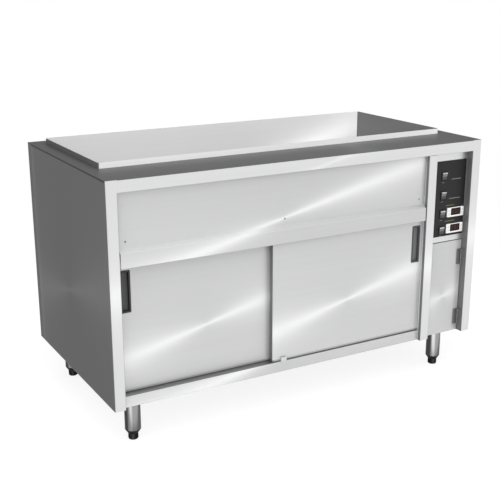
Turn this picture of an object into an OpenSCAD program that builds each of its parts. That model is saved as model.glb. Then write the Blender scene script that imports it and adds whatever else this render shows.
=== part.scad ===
// Hot cupboard with a bain-marie well: folded steel body on four legs, two sliding doors on a top track,
// a recessed control panel and a hinged service door over the drain valve.
// Modules are written from the front left floor corner: x to the right, y to the back, z up.

/* [Cabinet] */
// Overall width
cabinet_w = 1474; // [1300:1:1800]
// Overall depth
cabinet_d = 766; // [740:1:850]
// Height of the worktop above the floor
worktop_h = 900; // [880:1:950]
// Clear height under the cabinet
leg_h = 150; // [130:1:165]
// Thickness of the body sheet
sheet_t = 1.2; // [0.9:0.1:1.5]
// Inside radius of the sheet bends
bend_r = 1; // [0.6:0.1:1.5]
// Thickness of the worktop sheet
worktop_t = 1.5; // [1.2:0.1:2]
// Depth of the rear panel's side returns
rear_return_d = 37; // [25:1:45]

/* [Front frame] */
// Width of the front stiles
stile_w = 38; // [32:1:45]
// Depth of the stiles' side returns
stile_d = 64; // [62:1:75]
// Clear width of the control bay
control_bay_w = 166; // [160:1:190]
// Height of the worktop's turned-down front
apron_h = 40; // [30:1:50]
// Height of the rail under the doors
sill_h = 40; // [30:1:50]
// Distance of that rail behind the stiles' front
sill_setback = 15; // [13:1:16]

/* [Fascia] */
// Height of the fascia below the worktop's front
fascia_h = 240; // [235:1:260]
// Distance of its upper face behind the stiles' front
fascia_setback = 17; // [14:0.5:17]
// Distance of its lower lip behind the stiles' front
lip_setback = 2; // [1:0.5:4]
// Height of the lower lip
lip_h = 48; // [44:1:52]
// Height of the slope between the two
joggle_h = 13; // [10:1:14]
// Gap between the fascia and the stiles
fascia_gap = 3; // [1:0.5:5]
// Inward return along the lip's lower edge
lip_return = 9; // [6:0.5:11]

/* [Doors] */
// Thickness of a sliding door
door_t = 16; // [15:0.5:17]
// Distance of the outer door behind the stiles' front
door_setback = 19; // [19:0.5:20]
// Spacing of the two door planes
door_pitch = 24; // [23:0.5:25]
// Overlap of the closed doors
door_overlap = 88; // [70:1:110]
// Gap between a closed door and its stile
door_end_gap = 2; // [1:0.5:4]
// Gap between the doors and the sill
door_floor_gap = 8; // [6:0.5:10]
// Height of the doors hidden behind the lip
door_tuck = 44; // [40:1:46]
// Thickness of the door sheets
door_sheet_t = 1; // [0.8:0.1:1.2]

/* [Door handles] */
// Width of a recessed handle
handle_w = 35; // [30:1:40]
// Height of a recessed handle
handle_h = 140; // [110:1:160]
// Distance from the door's edge
handle_edge = 10; // [8:1:20]
// Distance below the fascia's lip
handle_drop = 18; // [10:1:40]
// Depth of the finger recess
handle_depth = 10; // [7:0.5:11]
// Width of the handle's rim
handle_rim = 4; // [3:0.5:6]
// Thickness of the handle's rim and walls
handle_t = 1.5; // [1.2:0.1:2]

/* [Door track] */
// Thickness of the track sheet
track_t = 2; // [1.5:0.1:2]
// Rolling radius of a roller
roller_r = 8; // [7:0.5:9]
// Height of a roller's rims over its groove
roller_rim = 2; // [1.5:0.1:2.5]
// Width of a roller
roller_w = 6; // [5.5:0.1:6.5]
// Radius of a roller's axle
axle_r = 2; // [1.5:0.1:2.5]
// Distance of a roller from the door's end
hanger_end_gap = 90; // [60:1:140]
// Width of a hanger plate
hanger_w = 36; // [28:1:50]
// Thickness of a hanger plate
hanger_t = 1.5; // [1.2:0.1:1.5]

/* [Well] */
// Distance of the well from each end of the worktop
well_end_gap = 50; // [45:1:80]
// Distance of the well from the worktop's front
well_front_gap = 185; // [150:1:195]
// Distance of the well from the worktop's rear
well_rear_gap = 55; // [45:1:80]
// Height of the rim over the worktop
rim_h = 19; // [12:1:30]
// Depth of the well below the worktop
well_depth = 185; // [160:1:186]
// Corner radius of the well
well_r = 7; // [5:0.5:14]
// Thickness of the well's sheet
well_t = 1.5; // [1.2:0.1:2]

/* [Control panel] */
// Distance of the panel behind the stiles' front
panel_setback = 28; // [27:0.5:32]
// Height of the control panel
panel_h = 340; // [335:1:360]
// Thickness of the panel plate
panel_t = 1.5; // [1.2:0.1:2]
// Thickness of the black front film
overlay_t = 0.5; // [0.3:0.1:1]
// Plain strip over the front film
overlay_top_gap = 31; // [26:1:33]
// Plain strip under the front film
overlay_base_gap = 21; // [18:1:22]
// Plain strip beside the front film
overlay_side_gap = 3; // [1:0.5:5]
// Width of a switch frame
switch_w = 29; // [28:0.5:31]
// Height of a switch frame
switch_h = 34; // [33:0.5:36]
// Width of a controller's front
controller_w = 78; // [76:0.5:79]
// Height of a controller's front
controller_h = 35; // [33:0.5:36]
// Depth of a controller's case behind the panel
controller_d = 55; // [40:1:70]

/* [Service door] */
// Thickness of the service door
service_t = 15; // [12:0.5:16]
// Gap beside the service door
service_gap = 2; // [1.6:0.1:3]
// Gap over the service door
service_line = 3; // [2:0.5:4]
// Height of a hinge
hinge_h = 61; // [50:1:70]
// Width of a hinge leaf
leaf_w = 20; // [16:0.5:20]
// Thickness of a hinge leaf
leaf_t = 2; // [1.5:0.1:2.2]
// Radius of a hinge knuckle
knuckle_r = 3.4; // [3.2:0.1:3.4]
// Radius of a hinge pin
hinge_pin_r = 1.6; // [1.2:0.1:1.8]

/* [Legs] */
// Distance of the left legs' axes from the left side
leg_left_inset = 91; // [70:1:110]
// Distance of the right legs' axes from the right side
leg_right_inset = 103; // [70:1:110]
// Distance of the legs' axes from the front and from the back
leg_depth_inset = 84; // [80:1:110]
// Outside radius of a leg tube
leg_r = 27; // [22:0.1:28]
// Wall of a leg tube
leg_wall = 1.5; // [1.2:0.1:2]
// Side of a leg's fixing plate
leg_plate_w = 80; // [78:1:110]
// Radius of an adjustable foot
foot_r = 17; // [14:0.5:18]
// Height of an adjustable foot
foot_h = 23; // [20:1:32]
// Height of the collar over a foot
collar_h = 15; // [8:0.5:18]

/* [Inside] */
// Height of the shelf over the cupboard floor
shelf_rise = 250; // [200:1:300]
// Radius of the heating elements' tube
element_r = 4; // [3:0.1:4.2]
// Outside radius of the drain pipe
drain_r = 13.5; // [11:0.1:15]
// Length of the drain valve's lever
lever_l = 90; // [70:1:95]

/* [Hidden] */
$fn = 48;
// Number of straight steps in a sheet bend
bend_steps = 4;
// How far a cut runs past the face it opens
overrun = 1;
// Gap between sheet edges that meet
joint_gap = 0.6;
// Gap round pieces that are fitted loosely
fit_gap = 0.3;
// Radial clearance of pins and axles
run_gap = 0.05;

// Main levels and planes
panel_top = worktop_h - worktop_t;
apron_z = worktop_h - apron_h;
lip_z = apron_z - fascia_h;
sill_z = leg_h + sill_h;
mid_x = cabinet_w - 2 * stile_w - control_bay_w;
bay_x = mid_x + stile_w;
bay_end_x = bay_x + control_bay_w;
rear_seam_y = cabinet_d - rear_return_d - joint_gap;
liner_y = cabinet_d - rear_return_d;
sill_return = 15;
tray_lap = 7;
opening_w = mid_x - stile_w;

// Fascia, its hidden top edge and its screws
fascia_tuck = 20;
fascia_back = fascia_setback + sheet_t;
apron_lip_d = fascia_setback - fit_gap;
screw_r = 3.2;
screw_dome = 1.8;
screw_shank_r = 1.6;
screw_edge = 23;

// Sliding doors
door_w = (opening_w + door_overlap) / 2 - door_end_gap;
door_z = sill_z + door_floor_gap;
door_top = lip_z + door_tuck;
door_h = door_top - door_z;
left_door_x = stile_w + door_end_gap;
right_door_x = mid_x - door_end_gap - door_w;
outer_y = door_setback;
inner_y = door_setback + door_pitch;
handle_z = lip_z - handle_drop - handle_h;
handle_r = 3;

// Running gear: places behind each door's front, from the hanger plate back to the rail's web
hanger_y = 2.5;
roller_gap = 0.5;
roller_y = hanger_y + hanger_t + roller_gap;
groove_w = 3;
rail_y = roller_y + (roller_w - track_t) / 2;
axle_head = 1;
web_y = 14;
rail_gap = 5;
rail_z = door_top + rail_gap;
rail_lip_h = 11;
rail_top = rail_z + rail_lip_h;
roller_z = rail_top + roller_r + run_gap;
track_headroom = 22;
track_top = roller_z + track_headroom + track_t;
track_flange_h = 22;
track_screw_drop = 10;
track_back = inner_y + web_y + track_t;
hanger_head_r = 7;
hanger_foot_d = 12;

// Centre guide on the sill
guide_w = 22;
guide_t = 1.5;
guide_drop = 5;
guide_rise = 14;
guide_finger_t = 3;
guide_slack = 2;

// Well
well_w = cabinet_w - 2 * well_end_gap;
well_d = cabinet_d - well_front_gap - well_rear_gap;
well_x = well_end_gap;
well_y = well_front_gap;
well_z = worktop_h - well_depth;
rim_z = worktop_h + rim_h;
drain_share = [0.952, 0.09];
drain_x = well_x + drain_share.x * well_w;
drain_y = well_y + drain_share.y * well_d;

// Cupboard lining
ceiling_rise = 70;
ceiling_z = lip_z + ceiling_rise;
ceiling_flange = 16;
shelf_z = sill_z + shelf_rise;
shelf_edge_h = 20;
shelf_side_gap = 3;
shelf_front_gap = 20;
shelf_rear_gap = 30;
bracket_w = 20;
bracket_h = 32;

// Heating elements and the guard over the cupboard's
element_leg_gap = 90;
element_end = 110;
element_tail = 18;
element_rise = 18;
terminal_r = 2;
terminal_l = 12;
guard_d = 170;
element_wall_gap = (guard_d - element_leg_gap) / 2;
guard_h = 42;
guard_side_gap = 24;
guard_slots = 18;
guard_slot_w = 12;
guard_slot_edge = 30;

// Rear vents behind the control bay
vent_rows = 9;
vent_w = 90;
vent_h = 5;
vent_pitch = 15;
vent_share = 0.62;

// Control panel: places across the bay and down from the panel's top
panel_z = apron_z - panel_h;
panel_front = panel_setback - overlay_t;
switch_across_share = 0.365;
switch_down_shares = [0.259, 0.474, 0.685, 0.870];
controller_across_share = 0.723;
controller_down_shares = [0.674, 0.857];
switch_x = bay_x + switch_across_share * control_bay_w;
controller_x = bay_x + controller_across_share * control_bay_w;
bezel_t = 2;
bezel_r = 2;
switch_body_in = 2;
switch_body_d = 18;
rocker_depth = 5;
rocker_r = 13.5;
rocker_w = 21;
rocker_back = 6;
rocker_tilt = 8;
trunnion_r = 1.5;
trunnion_l = 1.2;
controller_bezel_t = 4;
controller_bezel_r = 3;
controller_body_in = 3.5;
window_w = 47;
window_h = 24;
window_deep = 1.2;
window_t = 1;
window_off = 1.7;
overlay_r = 3;
panel_screw_in = 10;
panel_screw_top = 18;
panel_screw_base = 8;

// Service door and its hinges
service_x = bay_x + service_gap;
service_end_x = bay_end_x - service_gap;
service_z = leg_h;
service_top = panel_z - service_line;
hinge_off = 3.8;
hinge_x = bay_end_x - hinge_off;
hinge_y = panel_setback - hinge_off;
hinge_top_gap = 36;
hinge_base_gap = 27;
hinge_zs = [service_z + hinge_base_gap, service_top - hinge_top_gap - hinge_h];
knuckle_share = 0.34;
knuckle_l = knuckle_share * hinge_h;
catch_size = [18, 15, 40];
catch_magnet = [4, 2, 4];

// Legs and feet
leg_xs = [leg_left_inset, cabinet_w - leg_right_inset];
leg_ys = [leg_depth_inset, cabinet_d - leg_depth_inset];
leg_plate_t = 3;
leg_plate_r = 8;
leg_bolt_r = 4;
leg_bolt_in = 12;
bolt_head_r = 7.5;
bolt_head_h = 5.3;
tray_z = leg_h - sheet_t;
collar_z = foot_h;
tube_z = foot_h + collar_h;
collar_rim = 1.5;
collar_step = 1;
collar_plug_h = 36;
foot_round = 5;
stem_r = 6;
stem_h = 48;

// Drain valve in the service bay
valve_rise = 220;
valve_z = leg_h + valve_rise;
valve_r = 20;
valve_h = 22;
valve_hex_r = 22;
valve_end_h = 14;
stem_boss_r = 9;
stem_boss_l = 32;
valve_stem_r = 4;
valve_stem_l = 8;
lever_t = 3;
lever_w = 14;
lever_gap = 0.5;
drain_flange_r = 24;
drain_flange_t = 2;
drain_wall = 2;
drain_nut_r = 21;
drain_nut_h = 8;
drain_tail = 40;

// Mains cable gland in the floor of the service bay
gland_side_in = 50;
gland_rear_in = 90;
gland_x = mid_x + gland_side_in;
gland_y = cabinet_d - gland_rear_in;
gland_r = 10;
gland_bore_r = 6;
gland_hex_r = 16;
gland_hex_h = 7;
gland_dome_r = 13;
gland_dome_h = 12;
gland_nut_h = 5;
gland_lip = 2.5;

// Terminal block on the partition
block_size = [22, 80, 28];
block_ways = 5;
block_well_r = 5;
block_well_deep = 9;
block_y_share = 0.45;
block_z_share = 0.55;

// Straight runs and bends of a folded sheet, drawn from the path of its outer face
function unit(v) = v / norm(v);
function left_of(v) = [-v.y, v.x];
function turned(v, a) = [v.x * cos(a) - v.y * sin(a), v.x * sin(a) + v.y * cos(a)];
function heading(p, i) = unit(p[i + 1] - p[i]);
function bend_side(p, i) = sign(heading(p, i - 1) * -left_of(heading(p, i)));
function at_end(p, i) = i == 0 || i == len(p) - 1;

// Point i of the path parallel to p, at distance t on its left
function beside(p, i, t) =
    i == 0 ? p[0] + t * left_of(heading(p, 0)) :
    i == len(p) - 1 ? p[i] + t * left_of(heading(p, i - 1)) :
    let (a = heading(p, i - 1), b = heading(p, i))
    p[i] + t * (left_of(a) + left_of(b)) / (1 + a * b);

// Arc of radius r that replaces corner i of path p
function corner_arc(p, i, r) =
    let (a = heading(p, i - 1), s = bend_side(p, i), sweep = acos(a * heading(p, i)))
    let (spoke = -s * r * left_of(a), centre = p[i] - r * tan(sweep / 2) * a - spoke)
    [for (k = [0 : bend_steps]) centre + turned(spoke, s * sweep * k / bend_steps)];

// Path with its corners rounded, wider on the outside of each bend
function eased(p, t, side) = [
    for (i = [0 : len(p) - 1])
        each at_end(p, i) ? [p[i]] : corner_arc(p, i, side * bend_side(p, i) > 0 ? bend_r + t : bend_r)
];
function reversed(p) = [for (i = [len(p) - 1 : -1 : 0]) p[i]];

// Closed outline of a sheet of thickness t on the left of the path p
function fold(p, t) =
    concat(eased(p, t, 1), reversed(eased([for (i = [0 : len(p) - 1]) beside(p, i, t)], t, -1)));

module in_frame() {
    translate([-cabinet_w / 2, -cabinet_d / 2, 0]) children();
}

// Sheet folded on a plan outline, standing from z0 to z1
module fold_up(p, t, z0, z1) {
    translate([0, 0, z0]) linear_extrude(z1 - z0) polygon(fold(p, t));
}

// Sheet folded on a side outline of y and z, running from x0 to x1
module fold_across(p, t, x0, x1) {
    translate([x0, 0, 0]) rotate([90, 0, 90]) linear_extrude(x1 - x0) polygon(fold(p, t));
}

// Box between two opposite corners
module block(a, b) {
    translate(a) cube(b - a);
}

// Outline of x and z, thickened from y0 back to y1
module slab(y0, y1) {
    translate([0, y1, 0]) rotate([90, 0, 0]) linear_extrude(y1 - y0) children();
}

module rod_x(r, x0, x1) {
    translate([x0, 0, 0]) rotate([0, 90, 0]) cylinder(r = r, h = x1 - x0);
}

module rod_y(r, y0, y1) {
    translate([0, y0, 0]) rotate([-90, 0, 0]) cylinder(r = r, h = y1 - y0);
}

// Rectangle with round corners, from its lower left corner
module round_rect(w, h, r) {
    translate([r, 0]) square([w - 2 * r, h]);
    translate([0, r]) square([w, h - 2 * r]);
    for (x = [r, w - r], y = [r, h - r]) translate([x, y]) circle(r);
}

// The same about its centre
module round_plate(w, h, r) {
    translate([-w / 2, -h / 2]) round_rect(w, h, r);
}

// Slot of width w and overall length l along the second axis, about its centre
module slot(w, l) {
    square([w, l - w], center = true);
    for (v = [-1, 1]) translate([0, v * (l - w) / 2]) circle(w / 2);
}

// Pan-head screw with its seat on y = 0 and its head towards the front
module screw(grip) {
    rotate([90, 0, 0]) rotate_extrude() intersection() {
        translate([0, screw_dome - screw_r * screw_r / screw_dome]) circle(screw_r * screw_r / screw_dome);
        square([screw_r, screw_dome]);
    }
    rod_y(screw_shank_r, 0, grip);
}

// End panel with its front stile, for the left side
module end_panel() {
    fold_up([[0, rear_seam_y], [0, 0], [stile_w, 0], [stile_w, stile_d]], sheet_t, leg_h, panel_top);
}

module left_end_panel() {
    color("silver") in_frame() end_panel();
}

module right_end_panel() {
    color("silver") in_frame() translate([cabinet_w, 0, 0]) mirror([1, 0, 0]) end_panel();
}

module mid_stile() {
    color("gainsboro") in_frame()
        fold_up([[mid_x, stile_d], [mid_x, 0], [bay_x, 0], [bay_x, stile_d]], sheet_t, leg_h, apron_z);
}

// Rear panel, returned round both rear corners, with vents behind the control bay
module rear_panel() {
    vent_x = bay_x + control_bay_w / 2;
    vent_z = leg_h + vent_share * (panel_top - leg_h);
    color("lightgray") in_frame() difference() {
        fold_up([[cabinet_w, liner_y], [cabinet_w, cabinet_d], [0, cabinet_d], [0, liner_y]],
            sheet_t, leg_h, panel_top);
        slab(cabinet_d - sheet_t - overrun, cabinet_d + overrun)
            for (i = [0 : vent_rows - 1])
                translate([vent_x, vent_z + i * vent_pitch]) rotate(90) slot(vent_h, vent_w);
    }
}

// Cupboard floor, turned down at the back and in front, where it is the rail under the doors
module base_pan() {
    back = liner_y + 2 * sheet_t;
    color("lightgray") in_frame()
        fold_across([[back, leg_h], [back, sill_z], [sill_setback, sill_z], [sill_setback, leg_h],
            [sill_setback + sill_return, leg_h]], sheet_t, stile_w + joint_gap, mid_x - joint_gap);
}

// Hole in the underside sheet for what is r in radius
module tray_hole(r) {
    translate([0, 0, -overrun]) cylinder(r = r + fit_gap, h = sheet_t + 2 * overrun);
}

// Sheet that closes the underside, cut back behind the service door, with holes for the drain, the gland and
// the leg bolts
module bottom_tray() {
    edge = joint_gap;
    front = sill_setback + sill_return - tray_lap;
    color("darkgray") in_frame() difference() {
        block([edge, front, tray_z], [cabinet_w - edge, cabinet_d - edge, leg_h]);
        block([bay_x, 0, tray_z - overrun], [bay_end_x, panel_setback + service_t + service_gap, leg_h + overrun]);
        at_leg_bolts() tray_hole(leg_bolt_r);
        translate([drain_x, drain_y, tray_z]) tray_hole(drain_r);
        translate([gland_x, gland_y, tray_z]) tray_hole(gland_r);
    }
}

// Worktop with its turned-down front between the stiles and the cut-out for the well
module worktop() {
    side = stile_w + joint_gap;
    color("silver") in_frame() difference() {
        union() {
            fold_across([[cabinet_d, worktop_h], [0, worktop_h], [0, apron_z], [apron_lip_d, apron_z]],
                worktop_t, side, cabinet_w - side);
            block([0, 0, panel_top], [side, cabinet_d, worktop_h]);
            block([cabinet_w - side, 0, panel_top], [cabinet_w, cabinet_d, worktop_h]);
        }
        translate([well_x - fit_gap, well_y - fit_gap, panel_top - overrun])
            linear_extrude(worktop_t + 2 * overrun)
                round_rect(well_w + 2 * fit_gap, well_d + 2 * fit_gap, well_r + fit_gap);
    }
}

// Open box with round upright corners and a coved floor
module tub(w, d, h, r) {
    translate([0, 0, r]) linear_extrude(h - r) round_rect(w, d, r);
    for (x = [r, w - r], y = [r, d - r]) translate([x, y, r]) sphere(r);
    for (y = [r, d - r]) translate([0, y, r]) rod_x(r, r, w - r);
    for (x = [r, w - r]) translate([x, 0, r]) rod_y(r, r, d - r);
    translate([r, r, 0]) cube([w - 2 * r, d - 2 * r, r]);
}

// Well: a tub whose rim stands above the worktop, with a drain hole in its floor
module well_tank() {
    deep = rim_z - well_z;
    color("whitesmoke") in_frame() difference() {
        translate([well_x, well_y, well_z]) difference() {
            tub(well_w, well_d, deep, well_r);
            translate([well_t, well_t, well_t])
                tub(well_w - 2 * well_t, well_d - 2 * well_t, deep, well_r - well_t);
        }
        translate([drain_x, drain_y, well_z - overrun])
            cylinder(r = drain_r + fit_gap, h = well_t + 2 * overrun);
    }
}

// Fascia that slopes forward to a lip over the door tops
module fascia_panel() {
    slope_z = lip_z + lip_h;
    color("gainsboro") in_frame() difference() {
        fold_across([[fascia_setback, apron_z + fascia_tuck], [fascia_setback, slope_z + joggle_h],
            [lip_setback, slope_z], [lip_setback, lip_z], [lip_setback + lip_return, lip_z]],
            sheet_t, stile_w + fascia_gap, mid_x - fascia_gap);
        at_fascia_screws() rod_y(screw_shank_r + run_gap, -overrun, sheet_t + overrun);
    }
}

// Seats of the screws that hold the track behind the fascia
module at_fascia_screws() {
    xs = [stile_w + fascia_gap + screw_edge, (stile_w + mid_x) / 2, mid_x - fascia_gap - screw_edge];
    for (x = xs) translate([x, fascia_setback, track_top - track_screw_drop]) children();
}

module fascia_screws() {
    color("dimgray") in_frame() at_fascia_screws() screw(sheet_t + track_t);
}

// Sheet over the cupboard, under the well's elements, turned up in front against the track and notched at
// the stiles
module cupboard_ceiling() {
    notch_back = stile_d + joint_gap;
    notch_top = ceiling_z + ceiling_flange + overrun;
    color("darkgray") in_frame() difference() {
        fold_across([[track_back, ceiling_z + ceiling_flange], [track_back, ceiling_z],
            [liner_y + sheet_t, ceiling_z]], sheet_t, stile_w - sheet_t, mid_x + sheet_t);
        block([0, 0, ceiling_z - overrun], [stile_w + joint_gap, notch_back, notch_top]);
        block([mid_x - joint_gap, 0, ceiling_z - overrun], [cabinet_w, notch_back, notch_top]);
    }
}

module left_liner() {
    color("lightgray") in_frame()
        block([stile_w - sheet_t, stile_d + joint_gap, leg_h], [stile_w, liner_y - joint_gap, ceiling_z]);
}

// Places of the cupboard element's two ends, on the partition
element_ys = [liner_y - element_wall_gap - element_leg_gap, liner_y - element_wall_gap];
element_z = sill_z + element_rise;

// Wall between the cupboard and the service bay, which the cupboard element's ends pass
module service_partition() {
    color("lightgray") in_frame() difference() {
        block([mid_x, stile_d + joint_gap, leg_h], [mid_x + sheet_t, liner_y - joint_gap, ceiling_z]);
        for (y = element_ys)
            translate([mid_x, y, element_z]) rod_x(element_r + fit_gap, -overrun, sheet_t + overrun);
    }
}

module rear_liner() {
    color("lightgray") in_frame()
        block([stile_w, liner_y, sill_z], [mid_x, liner_y + sheet_t, ceiling_z]);
}

// Shelf with turned-down front and rear edges
module inner_shelf() {
    front = stile_d + shelf_front_gap;
    back = liner_y - shelf_rear_gap;
    color("gainsboro") in_frame()
        fold_across([[back, shelf_z - shelf_edge_h], [back, shelf_z], [front, shelf_z],
            [front, shelf_z - shelf_edge_h]], sheet_t, stile_w + shelf_side_gap, mid_x - shelf_side_gap);
}

// Angle strips that carry the shelf on both side walls
module shelf_brackets() {
    top = shelf_z - sheet_t;
    front = stile_d + 2 * shelf_front_gap;
    back = liner_y - 2 * shelf_rear_gap;
    color("darkgray") in_frame() {
        block([stile_w, front, top - bracket_h], [stile_w + sheet_t, back, top]);
        block([stile_w, front, top - sheet_t], [stile_w + bracket_w, back, top]);
        block([mid_x - sheet_t, front, top - bracket_h], [mid_x, back, top]);
        block([mid_x - bracket_w, front, top - sheet_t], [mid_x, back, top]);
    }
}

// Hooked rail for the door whose front is at y
module rail(y) {
    fold_across([[y + rail_y, rail_top], [y + rail_y, rail_z], [y + web_y + track_t, rail_z],
        [y + web_y + track_t, track_top - track_t]], track_t, stile_w + joint_gap, mid_x - joint_gap);
}

// Double top track: a head screwed behind the fascia, with one hooked rail for each door
module door_track() {
    color("darkgray") in_frame() difference() {
        union() {
            fold_across([[track_back, track_top], [fascia_back, track_top],
                [fascia_back, track_top - track_flange_h]], track_t, stile_w + joint_gap, mid_x - joint_gap);
            rail(outer_y);
            rail(inner_y);
        }
        at_fascia_screws() rod_y(screw_shank_r + run_gap, sheet_t - overrun, sheet_t + track_t + overrun);
    }
}

// Comb on the sill that keeps both doors in line where they cross
module door_guide() {
    x0 = (stile_w + mid_x - guide_w) / 2;
    between = (outer_y + door_t + inner_y - guide_finger_t) / 2;
    behind = inner_y + door_t + guide_slack;
    color("whitesmoke") in_frame() {
        block([x0, sill_setback - guide_t, sill_z - guide_drop],
            [x0 + guide_w, sill_setback, sill_z + guide_rise]);
        block([x0, sill_setback - guide_t, sill_z],
            [x0 + guide_w, behind + guide_t, sill_z + guide_t]);
        block([x0, between, sill_z], [x0 + guide_w, between + guide_finger_t, sill_z + guide_rise]);
        block([x0, behind, sill_z], [x0 + guide_w, behind + guide_t, sill_z + guide_rise]);
    }
}

// Places of the switches and the controllers on the panel's front
module at_switch(i) {
    translate([switch_x, panel_front, apron_z - switch_down_shares[i] * panel_h]) children();
}

module at_controllers() {
    for (share = controller_down_shares)
        translate([controller_x, panel_front, apron_z - share * panel_h]) children();
}

// Outlines behind the panel of a switch and of a controller, larger by a gap all round
module switch_outline(gap) {
    square([switch_w, switch_h] - 2 * (switch_body_in - gap) * [1, 1], center = true);
}

module controller_outline(gap) {
    square([controller_w, controller_h] - 2 * (controller_body_in - gap) * [1, 1], center = true);
}

// Cut-outs of the panel and its film for everything that is clipped through them
module panel_cuts() {
    deep = overlay_t + panel_t + overrun;
    for (i = [0 : len(switch_down_shares) - 1])
        at_switch(i) slab(-overrun, deep) switch_outline(fit_gap);
    at_controllers() slab(-overrun, deep) controller_outline(fit_gap);
}

module at_panel_screws() {
    for (x = [bay_x + panel_screw_in, bay_end_x - panel_screw_in],
         z = [panel_z + panel_screw_base, apron_z - panel_screw_top])
        translate([x, panel_setback, z]) children();
}

// Recessed plate that carries the controls
module control_plate() {
    color("gainsboro") in_frame() difference() {
        block([bay_x + joint_gap, panel_setback, panel_z],
            [bay_end_x - joint_gap, panel_setback + panel_t, apron_z]);
        panel_cuts();
        at_panel_screws() rod_y(screw_shank_r + run_gap, -overrun, panel_t + overrun);
    }
}

module panel_screws() {
    color("gray") in_frame() at_panel_screws() screw(panel_t);
}

// Black film on the plate's front
module control_overlay() {
    w = control_bay_w - 2 * overlay_side_gap;
    color("#202020") in_frame() difference() {
        slab(panel_front, panel_setback)
            translate([bay_x + overlay_side_gap, panel_z + overlay_base_gap])
                round_rect(w, panel_h - overlay_top_gap - overlay_base_gap, overlay_r);
        panel_cuts();
    }
}

// Frame and body of one rocker switch, with a round seat for the rocker
module switch_housing() {
    side = rocker_w / 2 + fit_gap;
    difference() {
        union() {
            slab(-bezel_t, 0) round_plate(switch_w, switch_h, bezel_r);
            slab(0, switch_body_d) switch_outline(0);
        }
        translate([0, rocker_depth - bezel_t, 0]) {
            rod_x(rocker_r + fit_gap, -side, side);
            rod_x(trunnion_r + run_gap, -side - trunnion_l, side + trunnion_l);
        }
    }
}

module switch_housings() {
    color("#303030") in_frame()
        for (i = [0 : len(switch_down_shares) - 1]) at_switch(i) switch_housing();
}

// Rocker with a hollow front, on two stub pivots, resting with its upper half out
module rocker(i) {
    lift = rocker_r * tan(rocker_tilt);
    color("#808080") in_frame() at_switch(i)
        translate([0, rocker_depth - bezel_t, 0]) rotate([rocker_tilt, 0, 0]) {
            translate([-rocker_w / 2, 0, 0]) rotate([90, 0, 90]) linear_extrude(rocker_w) intersection() {
                circle(rocker_r);
                polygon([[rocker_back, -rocker_r], [rocker_back, rocker_r],
                    [-rocker_depth - lift, rocker_r], [-rocker_depth, 0],
                    [-rocker_depth - lift, -rocker_r]]);
            }
            rod_x(trunnion_r, -rocker_w / 2 - trunnion_l, rocker_w / 2 + trunnion_l);
        }
}

module rocker_1() {
    rocker(0);
}

module rocker_2() {
    rocker(1);
}

module rocker_3() {
    rocker(2);
}

module rocker_4() {
    rocker(3);
}

// Two panel controllers: a light front frame on a case behind the panel
module controller_cases() {
    color("white") in_frame() at_controllers() difference() {
        union() {
            slab(-controller_bezel_t, 0) round_plate(controller_w, controller_h, controller_bezel_r);
            slab(0, controller_d) controller_outline(0);
        }
        slab(-controller_bezel_t - overrun, window_deep - controller_bezel_t)
            translate([window_off, 0]) round_plate(window_w, window_h, bezel_r);
    }
}

module controller_windows() {
    color("#401010") in_frame() at_controllers()
        slab(window_deep - window_t - controller_bezel_t, window_deep - controller_bezel_t)
            translate([window_off, 0])
                round_plate(window_w - 2 * fit_gap, window_h - 2 * fit_gap, bezel_r - fit_gap);
}

module at_legs() {
    for (x = leg_xs, y = leg_ys) translate([x, y, 0]) children();
}

// Corners of the fixing plates, on the underside of the tray
module at_leg_bolts() {
    at = leg_plate_w / 2 - leg_bolt_in;
    at_legs() for (x = [-at, at], y = [-at, at]) translate([x, y, tray_z]) children();
}

// Hexagon bolts through the fixing plates and the tray
module leg_bolts() {
    color("gray") in_frame() at_leg_bolts() {
        translate([0, 0, -leg_plate_t]) cylinder(r = leg_bolt_r, h = leg_plate_t + sheet_t);
        translate([0, 0, -leg_plate_t - bolt_head_h]) cylinder(r = bolt_head_r, h = bolt_head_h, $fn = 6);
    }
}

// Four leg tubes welded to drilled fixing plates
module leg_tubes() {
    plate_z = tray_z - leg_plate_t;
    bolt_at = leg_plate_w / 2 - leg_bolt_in;
    color("lightgray") in_frame() at_legs() {
        difference() {
            translate([0, 0, tube_z]) cylinder(r = leg_r, h = plate_z - tube_z);
            translate([0, 0, tube_z - overrun])
                cylinder(r = leg_r - leg_wall, h = plate_z - tube_z + overrun);
        }
        translate([0, 0, plate_z]) linear_extrude(leg_plate_t) difference() {
            round_plate(leg_plate_w, leg_plate_w, leg_plate_r);
            for (x = [-bolt_at, bolt_at], y = [-bolt_at, bolt_at])
                translate([x, y]) circle(leg_bolt_r + fit_gap);
        }
    }
}

// Conical collars pressed into the tubes, each bored for a foot's stem
module foot_collars() {
    plug_r = leg_r - leg_wall - fit_gap;
    color("#181818") in_frame() at_legs() rotate_extrude() difference() {
        union() {
            polygon([[0, collar_z], [foot_r + collar_step, collar_z], [leg_r, tube_z - collar_rim],
                [leg_r, tube_z], [0, tube_z]]);
            translate([0, tube_z]) square([plug_r, collar_plug_h]);
        }
        translate([0, collar_z - overrun])
            square([stem_r + run_gap, collar_h + collar_plug_h + 2 * overrun]);
    }
}

// Bullet foot with a round lower edge on a stem that slides in the collar
module foot(x, y) {
    color("#101010") in_frame() translate([x, y, 0]) rotate_extrude() {
        square([foot_r - foot_round, foot_h]);
        translate([0, foot_round]) square([foot_r, foot_h - foot_round]);
        intersection() {
            translate([foot_r - foot_round, foot_round]) circle(foot_round);
            square([foot_r, foot_h]);
        }
        translate([0, foot_h]) square([stem_r, stem_h]);
    }
}

module foot_front_left() {
    foot(leg_xs[0], leg_ys[0]);
}

module foot_front_right() {
    foot(leg_xs[1], leg_ys[0]);
}

module foot_rear_left() {
    foot(leg_xs[0], leg_ys[1]);
}

module foot_rear_right() {
    foot(leg_xs[1], leg_ys[1]);
}

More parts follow.
